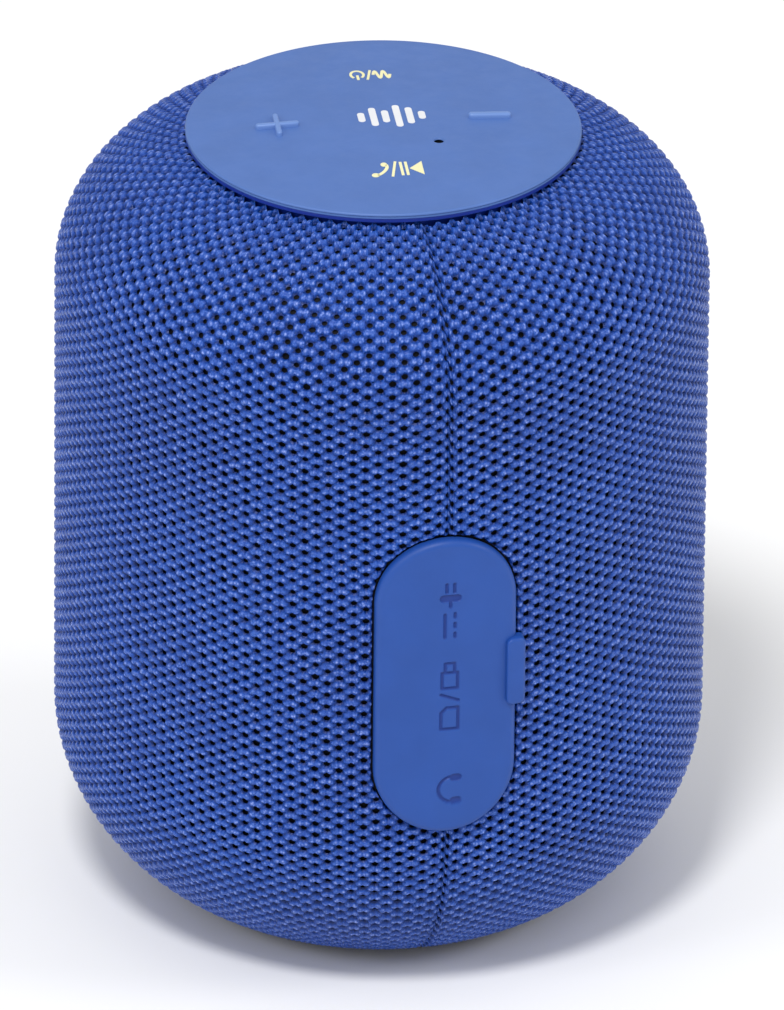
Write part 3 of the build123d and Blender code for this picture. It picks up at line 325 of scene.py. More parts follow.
knit_yarn = knit_material()
pad_rubber = moulded("pad_silicone", (0.070, 0.150, 0.412), 0.5, 2600, 0.00002, 0.04, shine=0.4)
# The flap's blue, then a darker blue painted into its sunk signs as shade.
FLAP_BLUE, SIGN_SHADE_BLUE = (0.0125, 0.066, 0.315), (0.004, 0.032, 0.22)
flap_rubber = moulded("flap_silicone", FLAP_BLUE, 0.46, 2600, 0.00002, 0.05, shine=0.35)
flap_face = moulded("flap_face", FLAP_BLUE, 0.46, 2600, 0.00002, 0.05, SIGN_SHADE_BLUE, 0.35)
trim_plastic = moulded("blue_trim", (0.003, 0.022, 0.24), 0.32, 2200, 0.00002, 0.06, shine=0.3)
base_plastic = moulded("blue_base", (0.006, 0.024, 0.18), 0.42, 2200, 0.00003, 0.08)
# A lighter copy of the pad silicone: painted light on the raised bars.
bar_lit_rubber = moulded("bar_lit_silicone", (0.125, 0.23, 0.53), 0.36, 2600, 0.00002, 0.04, shine=0.5)
ink_yellow = moulded("printed_ink", (0.80, 0.76, 0.44), 0.55, 3000, 0.00001, 0.05)
ink_silver = moulded("printed_silver", (0.72, 0.73, 0.76), 0.35, 3000, 0.00001, 0.04)

# ======================= Knitted sleeve =======================
COLUMNS, SECTORS = 168, 12
HOLE_X, HOLE_Y, TILE_SPOKES = 0.46, 0.40, 16
RING_STEPS = (0.0, 0.22, 0.46, 0.73, 1.0)
RING_GROW = (0.0, 0.0, 0.3, 0.65, 0.9, 1.0)  # share of each ring that ignores the hole's own size
HOLE_WALL, HOLE_SPREAD = 0.3, 0.07  # depth in mm, and how much holes vary in size
SLOPE_STEP, WELD_LATTICE = 0.035, 64
SEAM_ANGLE = math.radians(0.4)
SEAM_PINCH, SEAM_REACH, SEAM_GROOVE, SEAM_WIDTH = 0.75, 1.2, 0.38, 0.28
YARN_DEPTH = 0.2  # of the cloth's middle under the sleeve's outer surface
BARREL_RADIUS = 42.0
CROWN_REACH, CROWN_RISE, CROWN_Z = 22.6, 19.7, 86.0  # quarter ellipse over the shoulder
HEEL_REACH, HEEL_DROP, HEEL_Z = 33.6, 29.1, 26.1  # quarter ellipse under the wall
SLEEVE_TOP_RADIUS, SLEEVE_BASE_RADIUS = 24.45, 25.2
WINDOW_HALF, WINDOW_STRAIGHT, WINDOW_Z = 9.4, 11.7, 48.0
TUCK_RADIUS, TUCK_DEPTH, TUCK_OVER = 0.4, 1.0, 0.1
# Height of a row of stitches by the distance down the outline from the top opening
ROW_PLACES = (0, 6, 16, 25, 35, 70, 85, 93, 103, 115, 140)
ROW_HEIGHTS = (2.15, 2.12, 2.0, 1.74, 1.66, 1.65, 1.57, 1.6, 2.0, 2.2, 2.3)
# Each stitch is two lobes of yarn side by side
LOBE_OFFSET, LOBE_LONG, LOBE_SHORT, LOBE_TILT, LOBE_RISE = 0.44, 0.64, 0.56, 0.40, 0.46
LOBE_BLEND, LOBE_DROP = 18.0, 0.43
MEAN_PITCH_U, MEAN_PITCH_V = 1.56, 1.68


def quarter(reach, rise, centre_z, end_radius, from_end):
    """Ellipse between the wall and the opening of this radius: points and normals; rise < 0 goes down."""
    centre_r, reach = BARREL_RADIUS - reach, reach - YARN_DEPTH
    rise = rise - math.copysign(YARN_DEPTH, rise)
    end = math.acos((end_radius - centre_r) / reach)
    t = np.linspace(end, 0, 500) if from_end else np.linspace(0, end, 500)
    points = np.stack([centre_r + reach * np.cos(t), centre_z + rise * np.sin(t)], 1)
    return points, np.stack([np.cos(t) / reach, np.sin(t) / rise], 1)


def barrel_table():
    """Arc length, radius, height and normal along the barrel's outline, from top to base."""
    top, n_top = quarter(CROWN_REACH, CROWN_RISE, CROWN_Z, SLEEVE_TOP_RADIUS, True)
    low, n_low = quarter(HEEL_REACH, -HEEL_DROP, HEEL_Z, SLEEVE_BASE_RADIUS, False)
    mid_z = np.linspace(CROWN_Z, HEEL_Z, 200)[1:-1]
    mid = np.stack([np.full_like(mid_z, BARREL_RADIUS - YARN_DEPTH), mid_z], 1)
    n_mid = np.tile([1.0, 0.0], (len(mid), 1))
    points = np.concatenate([top, mid, low])
    normals = np.concatenate([n_top, n_mid, n_low])
    normals /= np.linalg.norm(normals, axis=1, keepdims=True)
    arc = np.concatenate([[0], np.cumsum(np.linalg.norm(np.diff(points, axis=0), axis=1))])
    return arc, points[:, 0], points[:, 1], normals[:, 0], normals[:, 1]


outline = barrel_table()
row_count = np.concatenate(
    [[0], np.cumsum(np.diff(outline[0]) / np.interp(outline[0][1:], ROW_PLACES, ROW_HEIGHTS))]
)
ROWS = int(row_count[-1]) - 1
row_count *= (ROWS + 1) / row_count[-1]


def stitch_relief(u, v):
    """Relief of the knit in mm: crests of yarn lobes, hollows at the holes, which sit at whole u."""
    heights = []
    nearest = np.round(u)
    for shift in (-1, 0, 1):
        column = nearest + shift
        phase = np.where(np.mod(column, 2) < 0.5, 0.5, 0.0)
        row = np.round(v - phase) + phase
        y = (v - row) * MEAN_PITCH_V
        for side in (-1, 1):
            x = (u - column) * MEAN_PITCH_U - side * LOBE_OFFSET
            c, s = math.cos(LOBE_TILT), side * math.sin(LOBE_TILT)
            along, across = x * c + y * s, y * c - x * s
            e = 1 - (along / LOBE_LONG) ** 2 - (across / LOBE_SHORT) ** 2
            heights.append(LOBE_RISE * (np.sqrt(np.clip(e, 0, None) + 0.01) + 0.12 * np.minimum(e, 0)))
    stack = np.array(heights)
    return np.log(np.exp(LOBE_BLEND * stack).sum(0)) / LOBE_BLEND - LOBE_DROP


def cloth_place(u, v):
    """Angle, radius, height and outline normal of untucked cloth, and its distance from the seam."""
    from_seam = u + 0.5
    around = u * (2 * np.pi / COLUMNS)
    wander = 0.05 * np.sin(5 * around + 0.33 * v) + 0.035 * np.sin(11 * around - 0.23 * v)
    column = from_seam + wander
    shear = 0.2 * np.tanh(from_seam / 0.5) * np.exp(-((from_seam / 3) ** 2))
    row = v + 0.05 * np.sin(6 * around - 0.19 * v) + shear
    pinched = column * (1 + SEAM_PINCH * 2 / COLUMNS) - SEAM_PINCH * np.tanh(column / SEAM_REACH)
    turn = pinched * (2 * np.pi / COLUMNS)
    arc = np.interp(row + 0.5, row_count, outline[0])
    r, z, nr, nz = (np.interp(arc, outline[0], column) for column in outline[1:])
    return SEAM_ANGLE + turn, r, z, nr, nz, turn * r


def knit_point(local, drop):
    """Position on the sleeve for column and row, with extra depth under the relief."""
    angle, r, z, nr, nz, across = cloth_place(local[:, 0], local[:, 1])
    groove = SEAM_GROOVE * np.exp(-((across / SEAM_WIDTH) ** 2))
    h = stitch_relief(local[:, 0], local[:, 1]) - drop - groove
    r, z = r + nr * h, z + nz * h
    return tuck(r * np.sin(angle), -r * np.cos(angle), z)


def window_distance(x, z):
    """Signed distance outside the port window, and the way to its middle line."""
    over = np.maximum(np.abs(z - WINDOW_Z) - WINDOW_STRAIGHT, 0) * np.sign(z - WINDOW_Z)
    away = np.hypot(x, over) + 1e-9
    return away - (WINDOW_HALF - TUCK_OVER), over, away


def tuck(x, y, z):
    """Rolls the cloth round the edge of the port window and into the gap there."""
    signed, over, away = window_distance(x, z)
    t = np.where(y < 0, np.clip(TUCK_RADIUS - signed, 0, None), 0)
    phase = np.clip(t / TUCK_RADIUS, 0, math.pi / 2)
    edge = TUCK_RADIUS * (1 - np.sin(phase))
    straight = np.clip(t - TUCK_RADIUS * math.pi / 2, 0, TUCK_DEPTH)
    inward = TUCK_RADIUS * (1 - np.cos(phase)) + straight
    shift = np.where(t > 0, edge - signed, 0)
    return np.stack([x + shift * x / away, y + np.where(t > 0, inward, 0), z + shift * over / away], -1)


def knit_tile():
    """One hole and its surround as rings of (u, v): a rhombus whose corners are stitch centres."""
    corners = np.array([(1, 0), (0, 0.5), (-1, 0), (0, -0.5), (1, 0)], float)
    per = TILE_SPOKES // 4
    rim = [corners[i] + (corners[i + 1] - corners[i]) * k / per for i in range(4) for k in range(per)]
    rim = np.array(rim)
    angles = np.arctan2(rim[:, 1] * MEAN_PITCH_V, rim[:, 0] * MEAN_PITCH_U)
    hole = np.stack(
        [HOLE_X / MEAN_PITCH_U * np.cos(angles), HOLE_Y / MEAN_PITCH_V * np.sin(angles)], 1
    )
    return np.array([hole * 0.9] + [hole + (rim - hole) * s for s in RING_STEPS])


def build_knit():
    """The sleeve in sectors, each one piece of the same cloth."""
    tile = knit_tile()
    n_rings = len(tile)
    count = n_rings * TILE_SPOKES
    quads = grid_faces(n_rings, TILE_SPOKES, close_cols=True)
    per_sector = COLUMNS // SECTORS
    made = []
    for sector in range(SECTORS):
        centres = []
        for column in range(per_sector):
            index = sector * per_sector + column - COLUMNS // 2
            odd = index % 2
            rows = np.arange(ROWS + 1 - odd) + 0.5 * odd
            centres.append(np.stack([np.full(len(rows), index), rows], 1))
        centres = np.concatenate(centres)
        uv = centres[:, None, None, :] + tile[None]
        size = 1 + HOLE_SPREAD * rng.standard_normal(len(centres))
        arc = np.interp(centres[:, 1] + 0.5, row_count, outline[0])
        taller = np.interp(arc, ROW_PLACES, ROW_HEIGHTS) / MEAN_PITCH_V
        shape = np.stack([size, size / taller ** 1.4], 1)[:, None, None]
        grow = np.array(RING_GROW)[None, :, None, None]
        offset = uv - centres[:, None, None]
        uv = centres[:, None, None] + offset * (grow + (1 - grow) * shape)
        drop = np.zeros(uv.shape[:3])
        drop[:, 0] = HOLE_WALL
        local, drop = uv.reshape(-1, 2), drop.reshape(-1)
        # Rim points shared by neighbouring tiles are welded on a fine lattice
        key = np.round(local * WELD_LATTICE).astype(np.int64)
        inner = np.arange(len(local)) % count < (n_rings - 1) * TILE_SPOKES
        code = np.where(inner, -1 - np.arange(len(local)), key[:, 0] * 100000 + key[:, 1])
        _, first, inverse = np.unique(code, return_index=True, return_inverse=True)
        faces = (np.arange(len(centres))[:, None, None] * count + quads[None]).reshape(-1, 4)
        faces = inverse.reshape(-1)[faces]
        local, drop = local[first], drop[first]
        position = knit_point(local, drop)
        du = knit_point(local + [SLOPE_STEP, 0], drop) - knit_point(local - [SLOPE_STEP, 0], drop)
        dv = knit_point(local + [0, SLOPE_STEP], drop) - knit_point(local - [0, SLOPE_STEP], drop)
        normal = np.cross(dv, du)
        normal /= np.linalg.norm(normal, axis=1, keepdims=True) + 1e-12
        relief = stitch_relief(local[:, 0], local[:, 1]) - drop
        # Cloth that would lie past the tucked edge is left out
        angle, r, z, *_ = cloth_place(local[:, 0], local[:, 1])
        signed, *_ = window_distance(r * np.sin(angle), z)
        beyond = (signed < -TUCK_DEPTH - 0.2) & (np.cos(angle) > 0)
        faces = faces[~np.all(beyond[faces], axis=1)]
        used = np.unique(faces)
        renumber = np.full(len(position), -1)
        renumber[used] = np.arange(len(used))
        # The relief layer drives the yarn's painted shade and painted highlight.
        layers = {"knit": local[used], "relief": np.stack([relief, relief * 0], 1)[used]}
        name = f"knit_sleeve_{sector + 1:02d}"
        made.append(make_object(name, position[used], renumber[faces], normal[used], layers, knit_yarn))
    return made


sleeve = build_knit()
for piece in sleeve:
    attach(piece, "speaker")
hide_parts("fabric_sleeve")

# ======================= Top pad =======================
PAD_RADIUS, PAD_EDGE, PAD_RISE, PAD_FILLET = 25.2, 106.45, 0.9, 0.3
PAD_TURN, PAD_SPOKES = -4.5, 240
# Inset and depth down the pad's edge: a shallow groove, then the wall and the step under it
PAD_WALL = ((0, 0), (0.12, 0.02), (0.12, 0.1), (0, 0.12), (0, 0.34), (1.5, 0.34))
KEY_RING, KEY_PATCH, KEY_CORE = 13.6, 6.4, 4.2
KEY_ANGLES = {"volume_down": 0, "power_mode": 90, "volume_up": 180, "play_call": 270}
MIC_RING, MIC_ANGLE, MIC_HOLE = 8.9, -45, 0.6
SPHERE = (PAD_RADIUS**2 + PAD_RISE**2) / (2 * PAD_RISE)


def dome(x, y):
    """Height of the pad's top, with its rounded edge and the dip at the microphone's hole."""
    r = np.hypot(x, y)
    z = PAD_EDGE + PAD_RISE - SPHERE + np.sqrt(SPHERE**2 - r**2)
    past = np.clip(r - (PAD_RADIUS - PAD_FILLET), 0, PAD_FILLET)
    z = z - (PAD_FILLET - np.sqrt(np.maximum(PAD_FILLET**2 - past**2, 0)))
    mx, my = polar(MIC_RING, MIC_ANGLE)
    near = np.clip(MIC_HOLE + 0.25 - np.hypot(x - mx, y - my), 0, 0.25)
    return z - (0.25 - np.sqrt(np.maximum(0.0625 - near**2, 0)))


def on_dome(xy, lift=0.0):
    """Points of the pad's top under these (x, y), raised by lift."""
    return np.concatenate([xy, dome(xy[:, 0], xy[:, 1])[:, None] + lift], 1)


def polar(radius, angle):
    """A point on the pad that turns with its signs."""
    turned = math.radians(angle + PAD_TURN)
    return radius * math.cos(turned), radius * math.sin(turned)


def dome_normal(x, y):
    step = 0.01
    dx = (dome(x + step, y) - dome(x - step, y)) / (2 * step)
    dy = (dome(x, y + step) - dome(x, y - step)) / (2 * step)
    n = np.stack([-dx, -dy, np.ones_like(dx)], -1)
    return n / np.linalg.norm(n, axis=-1, keepdims=True)


def ellipse(centre, rx, ry, t):
    return np.stack([centre[0] + rx * np.cos(t), centre[1] + ry * np.sin(t)], 1)


def circle(radius, count, centre=(0.0, 0.0)):
    return ellipse(centre, radius, radius, np.arange(count) * 2 * np.pi / count)


def outside_keys(points, radius):
    """Which points lie farther than this from every key's centre."""
    keep = np.ones(len(points), bool)
    for angle in KEY_ANGLES.values():
        cx, cy = polar(KEY_RING, angle)
        keep &= np.hypot(points[:, 0] - cx, points[:, 1] - cy) > radius
    return keep


def build_pad():
    """The pad's skin round the four key patches, with its rounded edge."""
    rings = [circle(PAD_RADIUS - 0.001, PAD_SPOKES)]
    for inset in (0.02, 0.06, 0.12, 0.2, 0.3):
        rings.append(circle(PAD_RADIUS - inset, PAD_SPOKES))
    rings.append(circle(PAD_RADIUS - 1.2, PAD_SPOKES // 2))
    loops = [circle(KEY_PATCH, 96, polar(KEY_RING, a)) for a in KEY_ANGLES.values()]
    mic = polar(MIC_RING, MIC_ANGLE)
    loops.append(circle(MIC_HOLE, 32, mic))
    extra = [circle(MIC_HOLE + d, 32, mic) for d in (0.05, 0.12, 0.25, 0.6)]
    spacing = 1.0
    gx, gy = np.meshgrid(np.arange(-23, 24, spacing), np.arange(-23, 24, spacing))
    gy = gy + np.where(np.round(gx / spacing) % 2 == 0, spacing / 2, 0)
    grid = np.stack([gx.ravel(), gy.ravel()], 1)
    keep = np.hypot(grid[:, 0], grid[:, 1]) < PAD_RADIUS - 1.8
    keep &= outside_keys(grid, KEY_PATCH + 0.5)
    keep &= np.hypot(grid[:, 0] - mic[0], grid[:, 1] - mic[1]) > 1.3
    points = np.concatenate(rings + loops + extra + [grid[keep]])
    edges = [(k, (k + 1) % PAD_SPOKES) for k in range(PAD_SPOKES)]
    start = sum(len(r) for r in rings)
    for loop in loops:
        edges += [(start + k, start + (k + 1) % len(loop)) for k in range(len(loop))]
        start += len(loop)
    verts, _, tris, *_ = delaunay_2d_cdt([Vector(p) for p in points], edges, [], 0, 1e-6)
    xy = np.array([tuple(v) for v in verts])
    tris = np.array([tuple(t) for t in tris])
    middle = xy[tris].mean(1)
    keep = np.hypot(middle[:, 0], middle[:, 1]) < PAD_RADIUS
    keep &= outside_keys(middle, KEY_PATCH * 0.999)
    keep &= np.hypot(middle[:, 0] - mic[0], middle[:, 1] - mic[1]) > MIC_HOLE * 0.99
    tris = tris[keep]
    area = np.cross(xy[tris[:, 1]] - xy[tris[:, 0]], xy[tris[:, 2]] - xy[tris[:, 0]])
    tris[area < 0] = tris[area < 0][:, ::-1]
    verts = on_dome(xy)
    normals = dome_normal(xy[:, 0], xy[:, 1])
    r = np.hypot(xy[:, 0], xy[:, 1])
    rim = r > PAD_RADIUS - 0.01
    normals[rim] = np.concatenate([xy[rim] / r[rim][:, None], np.zeros((rim.sum(), 1))], 1)
    return verts, tris, normals


def lathe(name, profile, count, centre=(0.0, 0.0), material=None):
    """Ring-shaped surface through (radius, height) points, each face of it with its own edges."""
    turn = np.linspace(0, 2 * np.pi, count, endpoint=False)
    verts, normals, faces = [], [], []
    for (r0, z0), (r1, z1) in zip(profile[:-1], profile[1:]):
        out, up = z0 - z1, r1 - r0
        length = math.hypot(out, up)
        for r, z in ((r0, z0), (r1, z1)):
            ring = np.stack([np.cos(turn) * r, np.sin(turn) * r, np.full(count, z)], 1)
            verts.append(ring + [*centre, 0])
            normals.append(
                np.stack([np.cos(turn) * out, np.sin(turn) * out, np.full(count, up)], 1) / length
            )
        faces.append(grid_faces(2, count, close_cols=True)[:, ::-1] + 2 * count * len(faces))
    return make_object(
        name, np.concatenate(verts), np.concatenate(faces), np.concatenate(normals), material=material
    )


pad_verts, pad_tris, pad_normals = build_pad()
pad_skin = make_object("pad_skin", pad_verts, pad_tris, pad_normals, material=pad_rubber)
rim_top = float(dome(np.array([PAD_RADIUS - 0.001]), np.array([0.0]))[0])
pad_edge = lathe(
    "pad_edge",
    [(PAD_RADIUS - inset, rim_top - below) for inset, below in PAD_WALL],
    PAD_SPOKES,
    material=pad_rubber,
)
mic_top = float(dome(*[np.array([c]) for c in polar(MIC_RING, MIC_ANGLE)])[0])
mic_lining = lathe(
    "mic_hole_lining",
    [(MIC_HOLE - 0.01, mic_top - 1.6), (MIC_HOLE - 0.01, mic_top - 0.22)],
    32,
    polar(MIC_RING, MIC_ANGLE),
    moulded("mic_boot_rubber", (0.01, 0.01, 0.011), 0.7, 1500, 0.00004, 0.2),
)
for piece, slot in ((pad_skin, "pad_silicone"), (pad_edge, "pad_silicone"), (mic_lining, "black_rubber")):
    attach(piece, "speaker")
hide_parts("button_pad")

WEDGES = 6


def build_key(name, angle):
    """A key's patch of skin: a core that moves with the key, and a ring of wedges round it."""
    centre = np.array(polar(KEY_RING, angle))
    spokes = 96
    radii = np.array([0.0, 0.6, 1.2, 1.9, 2.6, 3.4, KEY_CORE])
    t = np.arange(spokes) * 2 * np.pi / spokes
    direction = np.stack([np.cos(t), np.sin(t)], 1)
    xy = np.concatenate([centre[None]] + [centre + direction * r for r in radii[1:]])
    ring = 1 + np.arange(spokes)
    fan = np.stack([np.zeros(spokes, int), ring, np.roll(ring, -1)], 1)
    quads = grid_faces(len(radii) - 1, spokes, close_cols=True)[:, ::-1] + 1
    verts = on_dome(xy)
    core = make_object(
        f"{name}_key_top", verts, [fan, quads], dome_normal(xy[:, 0], xy[:, 1]), material=pad_rubber
    )
    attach(core, name)
    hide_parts(f"{name}_key")
    per = spokes // WEDGES
    ring_radii = np.linspace(KEY_CORE, KEY_PATCH, 9)
    for wedge in range(WEDGES):
        span = np.arange(wedge * per, (wedge + 1) * per + 1) % spokes
        xy = (centre + direction[span][None] * ring_radii[:, None, None]).reshape(-1, 2)
        quads = grid_faces(len(ring_radii), per + 1)[:, ::-1]
        verts = on_dome(xy)
        normals = dome_normal(xy[:, 0], xy[:, 1])
        piece = make_object(f"{name}_key_give_{wedge + 1}", verts, quads, normals, material=pad_rubber)
        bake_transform(piece)


for key, angle in KEY_ANGLES.items():
    build_key(key, angle)


# ======================= Signs on the pad =======================
def stroke(points, width):
    """Outline polygon of a stroke through points, with square ends, as a 2-D ribbon."""
    p = np.asarray(points, float)
    d = np.diff(p, axis=0)
    d /= np.linalg.norm(d, axis=1, keepdims=True)
    n = np.stack([-d[:, 1], d[:, 0]], 1)
    side = np.concatenate([n[:1], (n[:-1] + n[1:]) / 2, n[-1:]])
    scale = 1 / np.maximum(np.sum(side * np.concatenate([n[:1], n[:-1], n[-1:]]), axis=1), 0.45)
    side = side * scale[:, None] * width / 2
    return np.concatenate([p + side, (p - side)[::-1]])


def place_on_pad(outline_2d, centre, angle=180):
    """Sign coordinates onto the pad, turned by the angle: 180 is read from the far side."""
    turn = math.radians(angle + PAD_TURN)
    c, s = math.cos(turn), math.sin(turn)
    x, y = outline_2d[:, 0], outline_2d[:, 1]
    return np.stack([centre[0] + x * c - y * s, centre[1] + x * s + y * c], 1)


PRINT_LIFT = 0.05


def printed(name, outlines, centre, body, material):
    """Thin printed sign: each outline filled, its top following the dome, with a short edge."""
    verts, faces, start = [], [], 0
    for shape in outlines:
        flat = place_on_pad(np.asarray(shape, float), centre)
        x, y = flat.T
        if np.sum(x * np.roll(y, -1) - np.roll(x, -1) * y) < 0:
            flat = flat[::-1]
        n = len(flat)
        pts = [Vector(p) for p in flat]
        out, _, tris, *_ = delaunay_2d_cdt(pts, [(k, (k + 1) % n) for k in range(n)], [], 1, 1e-7)
        xy = np.array([tuple(p) for p in out])
        tri = np.array([tuple(f) for f in tris])
        spin = np.cross(xy[tri[:, 1]] - xy[tri[:, 0]], xy[tri[:, 2]] - xy[tri[:, 0]])
        tri[spin < 0] = tri[spin < 0][:, ::-1]
        top = on_dome(xy, PRINT_LIFT)
        low = on_dome(flat, -PRINT_LIFT)
        rim = np.arange(n)
        walls_a = np.stack([rim, len(top) + rim, np.roll(rim, -1)], 1)
        walls_b = np.stack([np.roll(rim, -1), len(top) + rim, len(top) + np.roll(rim, -1)], 1)
        verts += [top, low]
        faces += [tri + start, walls_a + start, walls_b + start]
        start += len(top) + n
    obj = make_object(name, np.concatenate(verts), np.concatenate(faces), material=material)
    obj.data.polygons.foreach_set("use_smooth", np.zeros(len(obj.data.polygons), bool))
    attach(obj, body)


def arc(centre, radius, start, stop, count=24):
    return ellipse(centre, radius, radius, np.radians(np.linspace(start, stop, count)))


def blob(centre, rx, ry, count=20):
    return ellipse(centre, rx, ry, np.linspace(0, 2 * np.pi, count, endpoint=False))


def smooth_path(points, count=28):
    """Curve through points, by centripetal spacing and cubic blending of their neighbours."""
    p = np.asarray(points, float)
    p = np.concatenate([2 * p[:1] - p[1:2], p, 2 * p[-1:] - p[-2:-1]])
    spans = len(p) - 3
    out = []
    for k in range(spans):
        a, b, c, d = p[k : k + 4]
        for t in np.linspace(0, 1, count // spans, endpoint=False):
            out.append(
                0.5
                * (2 * b + (c - a) * t + (2 * a - 5 * b + 4 * c - d) * t**2 + (3 * b - a - 3 * c + d) * t**3)
            )
    return np.array(out + [p[-2]])


def play_call_signs():
    """Play triangle, pause bars, slash and handset, left to right as read."""
    handset = smooth_path([(3.0, 1.45), (2.35, 1.3), (1.65, 0.55), (1.2, -0.4), (1.2, -1.2)])
    return [
        np.array([(-3.35, -1.75), (-1.65, 0.0), (-3.35, 1.75)]),
        stroke([(-1.28, -1.75), (-1.28, 1.75)], 0.36),
        stroke([(-0.62, -1.75), (-0.62, 1.75)], 0.36),
        stroke([(-0.02, -1.95), (0.72, 1.95)], 0.34),
        stroke(handset, 0.44),
        blob((2.85, 1.42), 0.5, 0.5),
        blob((1.5, -1.25), 0.42, 0.52),
    ]


def mode_power_signs():
    """Wave for the mode, slash and power symbol."""
    x = np.linspace(-2.5, -0.35, 41)
    wave = np.stack([x, 1.05 * np.sin((x + 2.5) * 2 * np.pi / 1.075)], 1)
    turn = np.radians(np.linspace(128, 412, 40))
    ring = ellipse((1.7, -0.2), 0.82, 1.15, turn)
    return [
        stroke(wave, 0.38),
        stroke([(-0.08, -1.45), (0.52, 1.45)], 0.32),
        stroke(ring, 0.34),
        stroke([(1.7, 0.0), (1.7, 1.4)], 0.34),
    ]


def bar_mark():
    """Generic mark: level bars."""
    heights, radius, pitch = (2.2, 4.6, 6.2, 3.4, 5.2, 2.6), 0.45, 1.55
    shapes = []
    for k, height in enumerate(heights):
        x = (k - 2.5) * pitch
        top = arc((x, height / 2 - radius), radius, 0, 180, 12)
        low = arc((x, -height / 2 + radius), radius, 180, 360, 12)
        shapes.append(np.concatenate([top, low]))
    return shapes


printed("play_call_sign", play_call_signs(), polar(KEY_RING, 270), "play_call", ink_yellow)
printed("mode_power_sign", mode_power_signs(), polar(KEY_RING, 90), "power_mode", ink_yellow)
printed("level_bar_mark", bar_mark(), polar(1.5, 40), "speaker", ink_silver)


def raised_bar(name, centre, angle, length, width, height, body):
    """Soft raised bar with rounded ends and top, swept in rings from its edge to its crest."""
    profile = [(1.0, -0.1), (1.0, 0.45), (0.93, 0.72), (0.78, 0.9), (0.5, 0.99), (0.12, 1.0)]
    straight = (length - width) / 2
    t = np.linspace(-np.pi / 2, np.pi / 2, 13)
    end = np.stack([np.cos(t), np.sin(t)], 1)
    rings = []
    for share, level in profile:
        radius = width / 2 * share
        right = end * radius + [straight, 0]
        left = -end * radius - [straight, 0]
        xy = place_on_pad(np.concatenate([right, left]), centre, angle)
        rings.append(on_dome(xy, height * level))
    n = len(rings[0])
    quads = grid_faces(len(rings), n, close_cols=True)
    top = np.arange(n) + (len(rings) - 1) * n
    half = n // 2
    cap = np.stack([top[: half - 1], top[1:half], top[n - 2 : half - 1 : -1], top[n - 1 : half : -1]], 1)
    # Painted light: bars take the lighter copy of the pad silicone.
    obj = make_object(name, np.concatenate(rings), [quads, cap], material=bar_lit_rubber)
    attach(obj, body)


raised_bar("minus_bar", polar(KEY_RING, 0), 0, 5.5, 1.05, 0.62, "volume_down")
raised_bar("plus_bar_across", polar(KEY_RING, 180), 0, 5.6, 0.85, 0.6, "volume_up")
raised_bar("plus_bar_along", polar(KEY_RING, 180), 90, 5.6, 0.75, 0.61, "volume_up")

# ======================= Port flap =======================
FLAP_HALF, FLAP_STRAIGHT, PORT_Z = 9.1, WINDOW_STRAIGHT, WINDOW_Z
FLAP_LOW, FLAP_TOP, FLAP_ROUND = 41.2, 42.9, 0.85
SKIRT_OUT, SKIRT_IN, SKIRT_TIP = 1.85, 3.05, 39.7
SIGN_DEPTH = 0.22


def segment_distance(px, pz, a, b):
    """Distance of points to a line segment."""
    ax, az = a
    dx, dz = b[0] - ax, b[1] - az
    t = np.clip(((px - ax) * dx + (pz - az) * dz) / (dx * dx + dz * dz), 0, 1)
    return np.hypot(px - ax - t * dx, pz - az - t * dz)


def sign_strokes():
    """Strokes of the three generic port signs, reading upwards: ends (x, z) and half width."""
    strokes = []

    def path(*points, half=0.2):
        strokes.extend((a, b, half) for a, b in zip(points[:-1], points[1:]))

    # Charging: solid bar over dashes, then a plug with two prongs
    path((-0.4, 7.2), (-0.4, 10.4))
    for z in (7.2, 8.6, 10.0):
        path((0.9, z), (0.9, z + 0.5))
    path((0.3, 11.5), (0.3, 12.3))
    path((-0.6, 12.7), (1.2, 12.7), half=0.5)
    path((-0.2, 13.6), (-0.2, 14.7))
    path((0.8, 13.6), (0.8, 14.7))
    # Storage: memory card, slash and memory stick
    path((1.4, -5.9), (1.4, -2.9), (-0.1, -2.9), (-0.8, -3.6), (-0.8, -5.9), (1.4, -5.9))
    path((1.4, -1.9), (-0.8, -1.0))
    path((-0.7, -0.1), (-0.7, 2.1), (1.3, 2.1), (1.3, -0.1), (-0.7, -0.1))
    path((-0.3, 2.2), (-0.3, 3.4), (0.9, 3.4), (0.9, 2.2))
    # Audio: headphones
    band = [(0.75 + 1.8 * math.cos(a), -14.6 + 1.8 * math.sin(a)) for a in np.linspace(1.5, 4.78, 14)]
    path(*band)
    path((0.95, -16.25), (1.45, -16.25), half=0.5)
    path((0.95, -12.95), (1.45, -12.95), half=0.5)
    return strokes


FLAP_STROKES = sign_strokes()


def stadium_ring(inset, per_end=90, per_side=190):
    """Ring of (x, z) at this inset from the flap's edge, always the same count of points."""
    radius = max(FLAP_HALF - inset, 0.0)
    t = np.linspace(0, np.pi, per_end, endpoint=False)
    top = np.stack([radius * np.cos(t), FLAP_STRAIGHT + radius * np.sin(t)], 1)
    z = np.linspace(FLAP_STRAIGHT, -FLAP_STRAIGHT, per_side, endpoint=False)
    left = np.stack([np.full(per_side, -radius), z], 1)
    low = np.stack([-radius * np.cos(t), -FLAP_STRAIGHT - radius * np.sin(t)], 1)
    right = np.stack([np.full(per_side, radius), -z], 1)
    return np.concatenate([top, left, low, right])


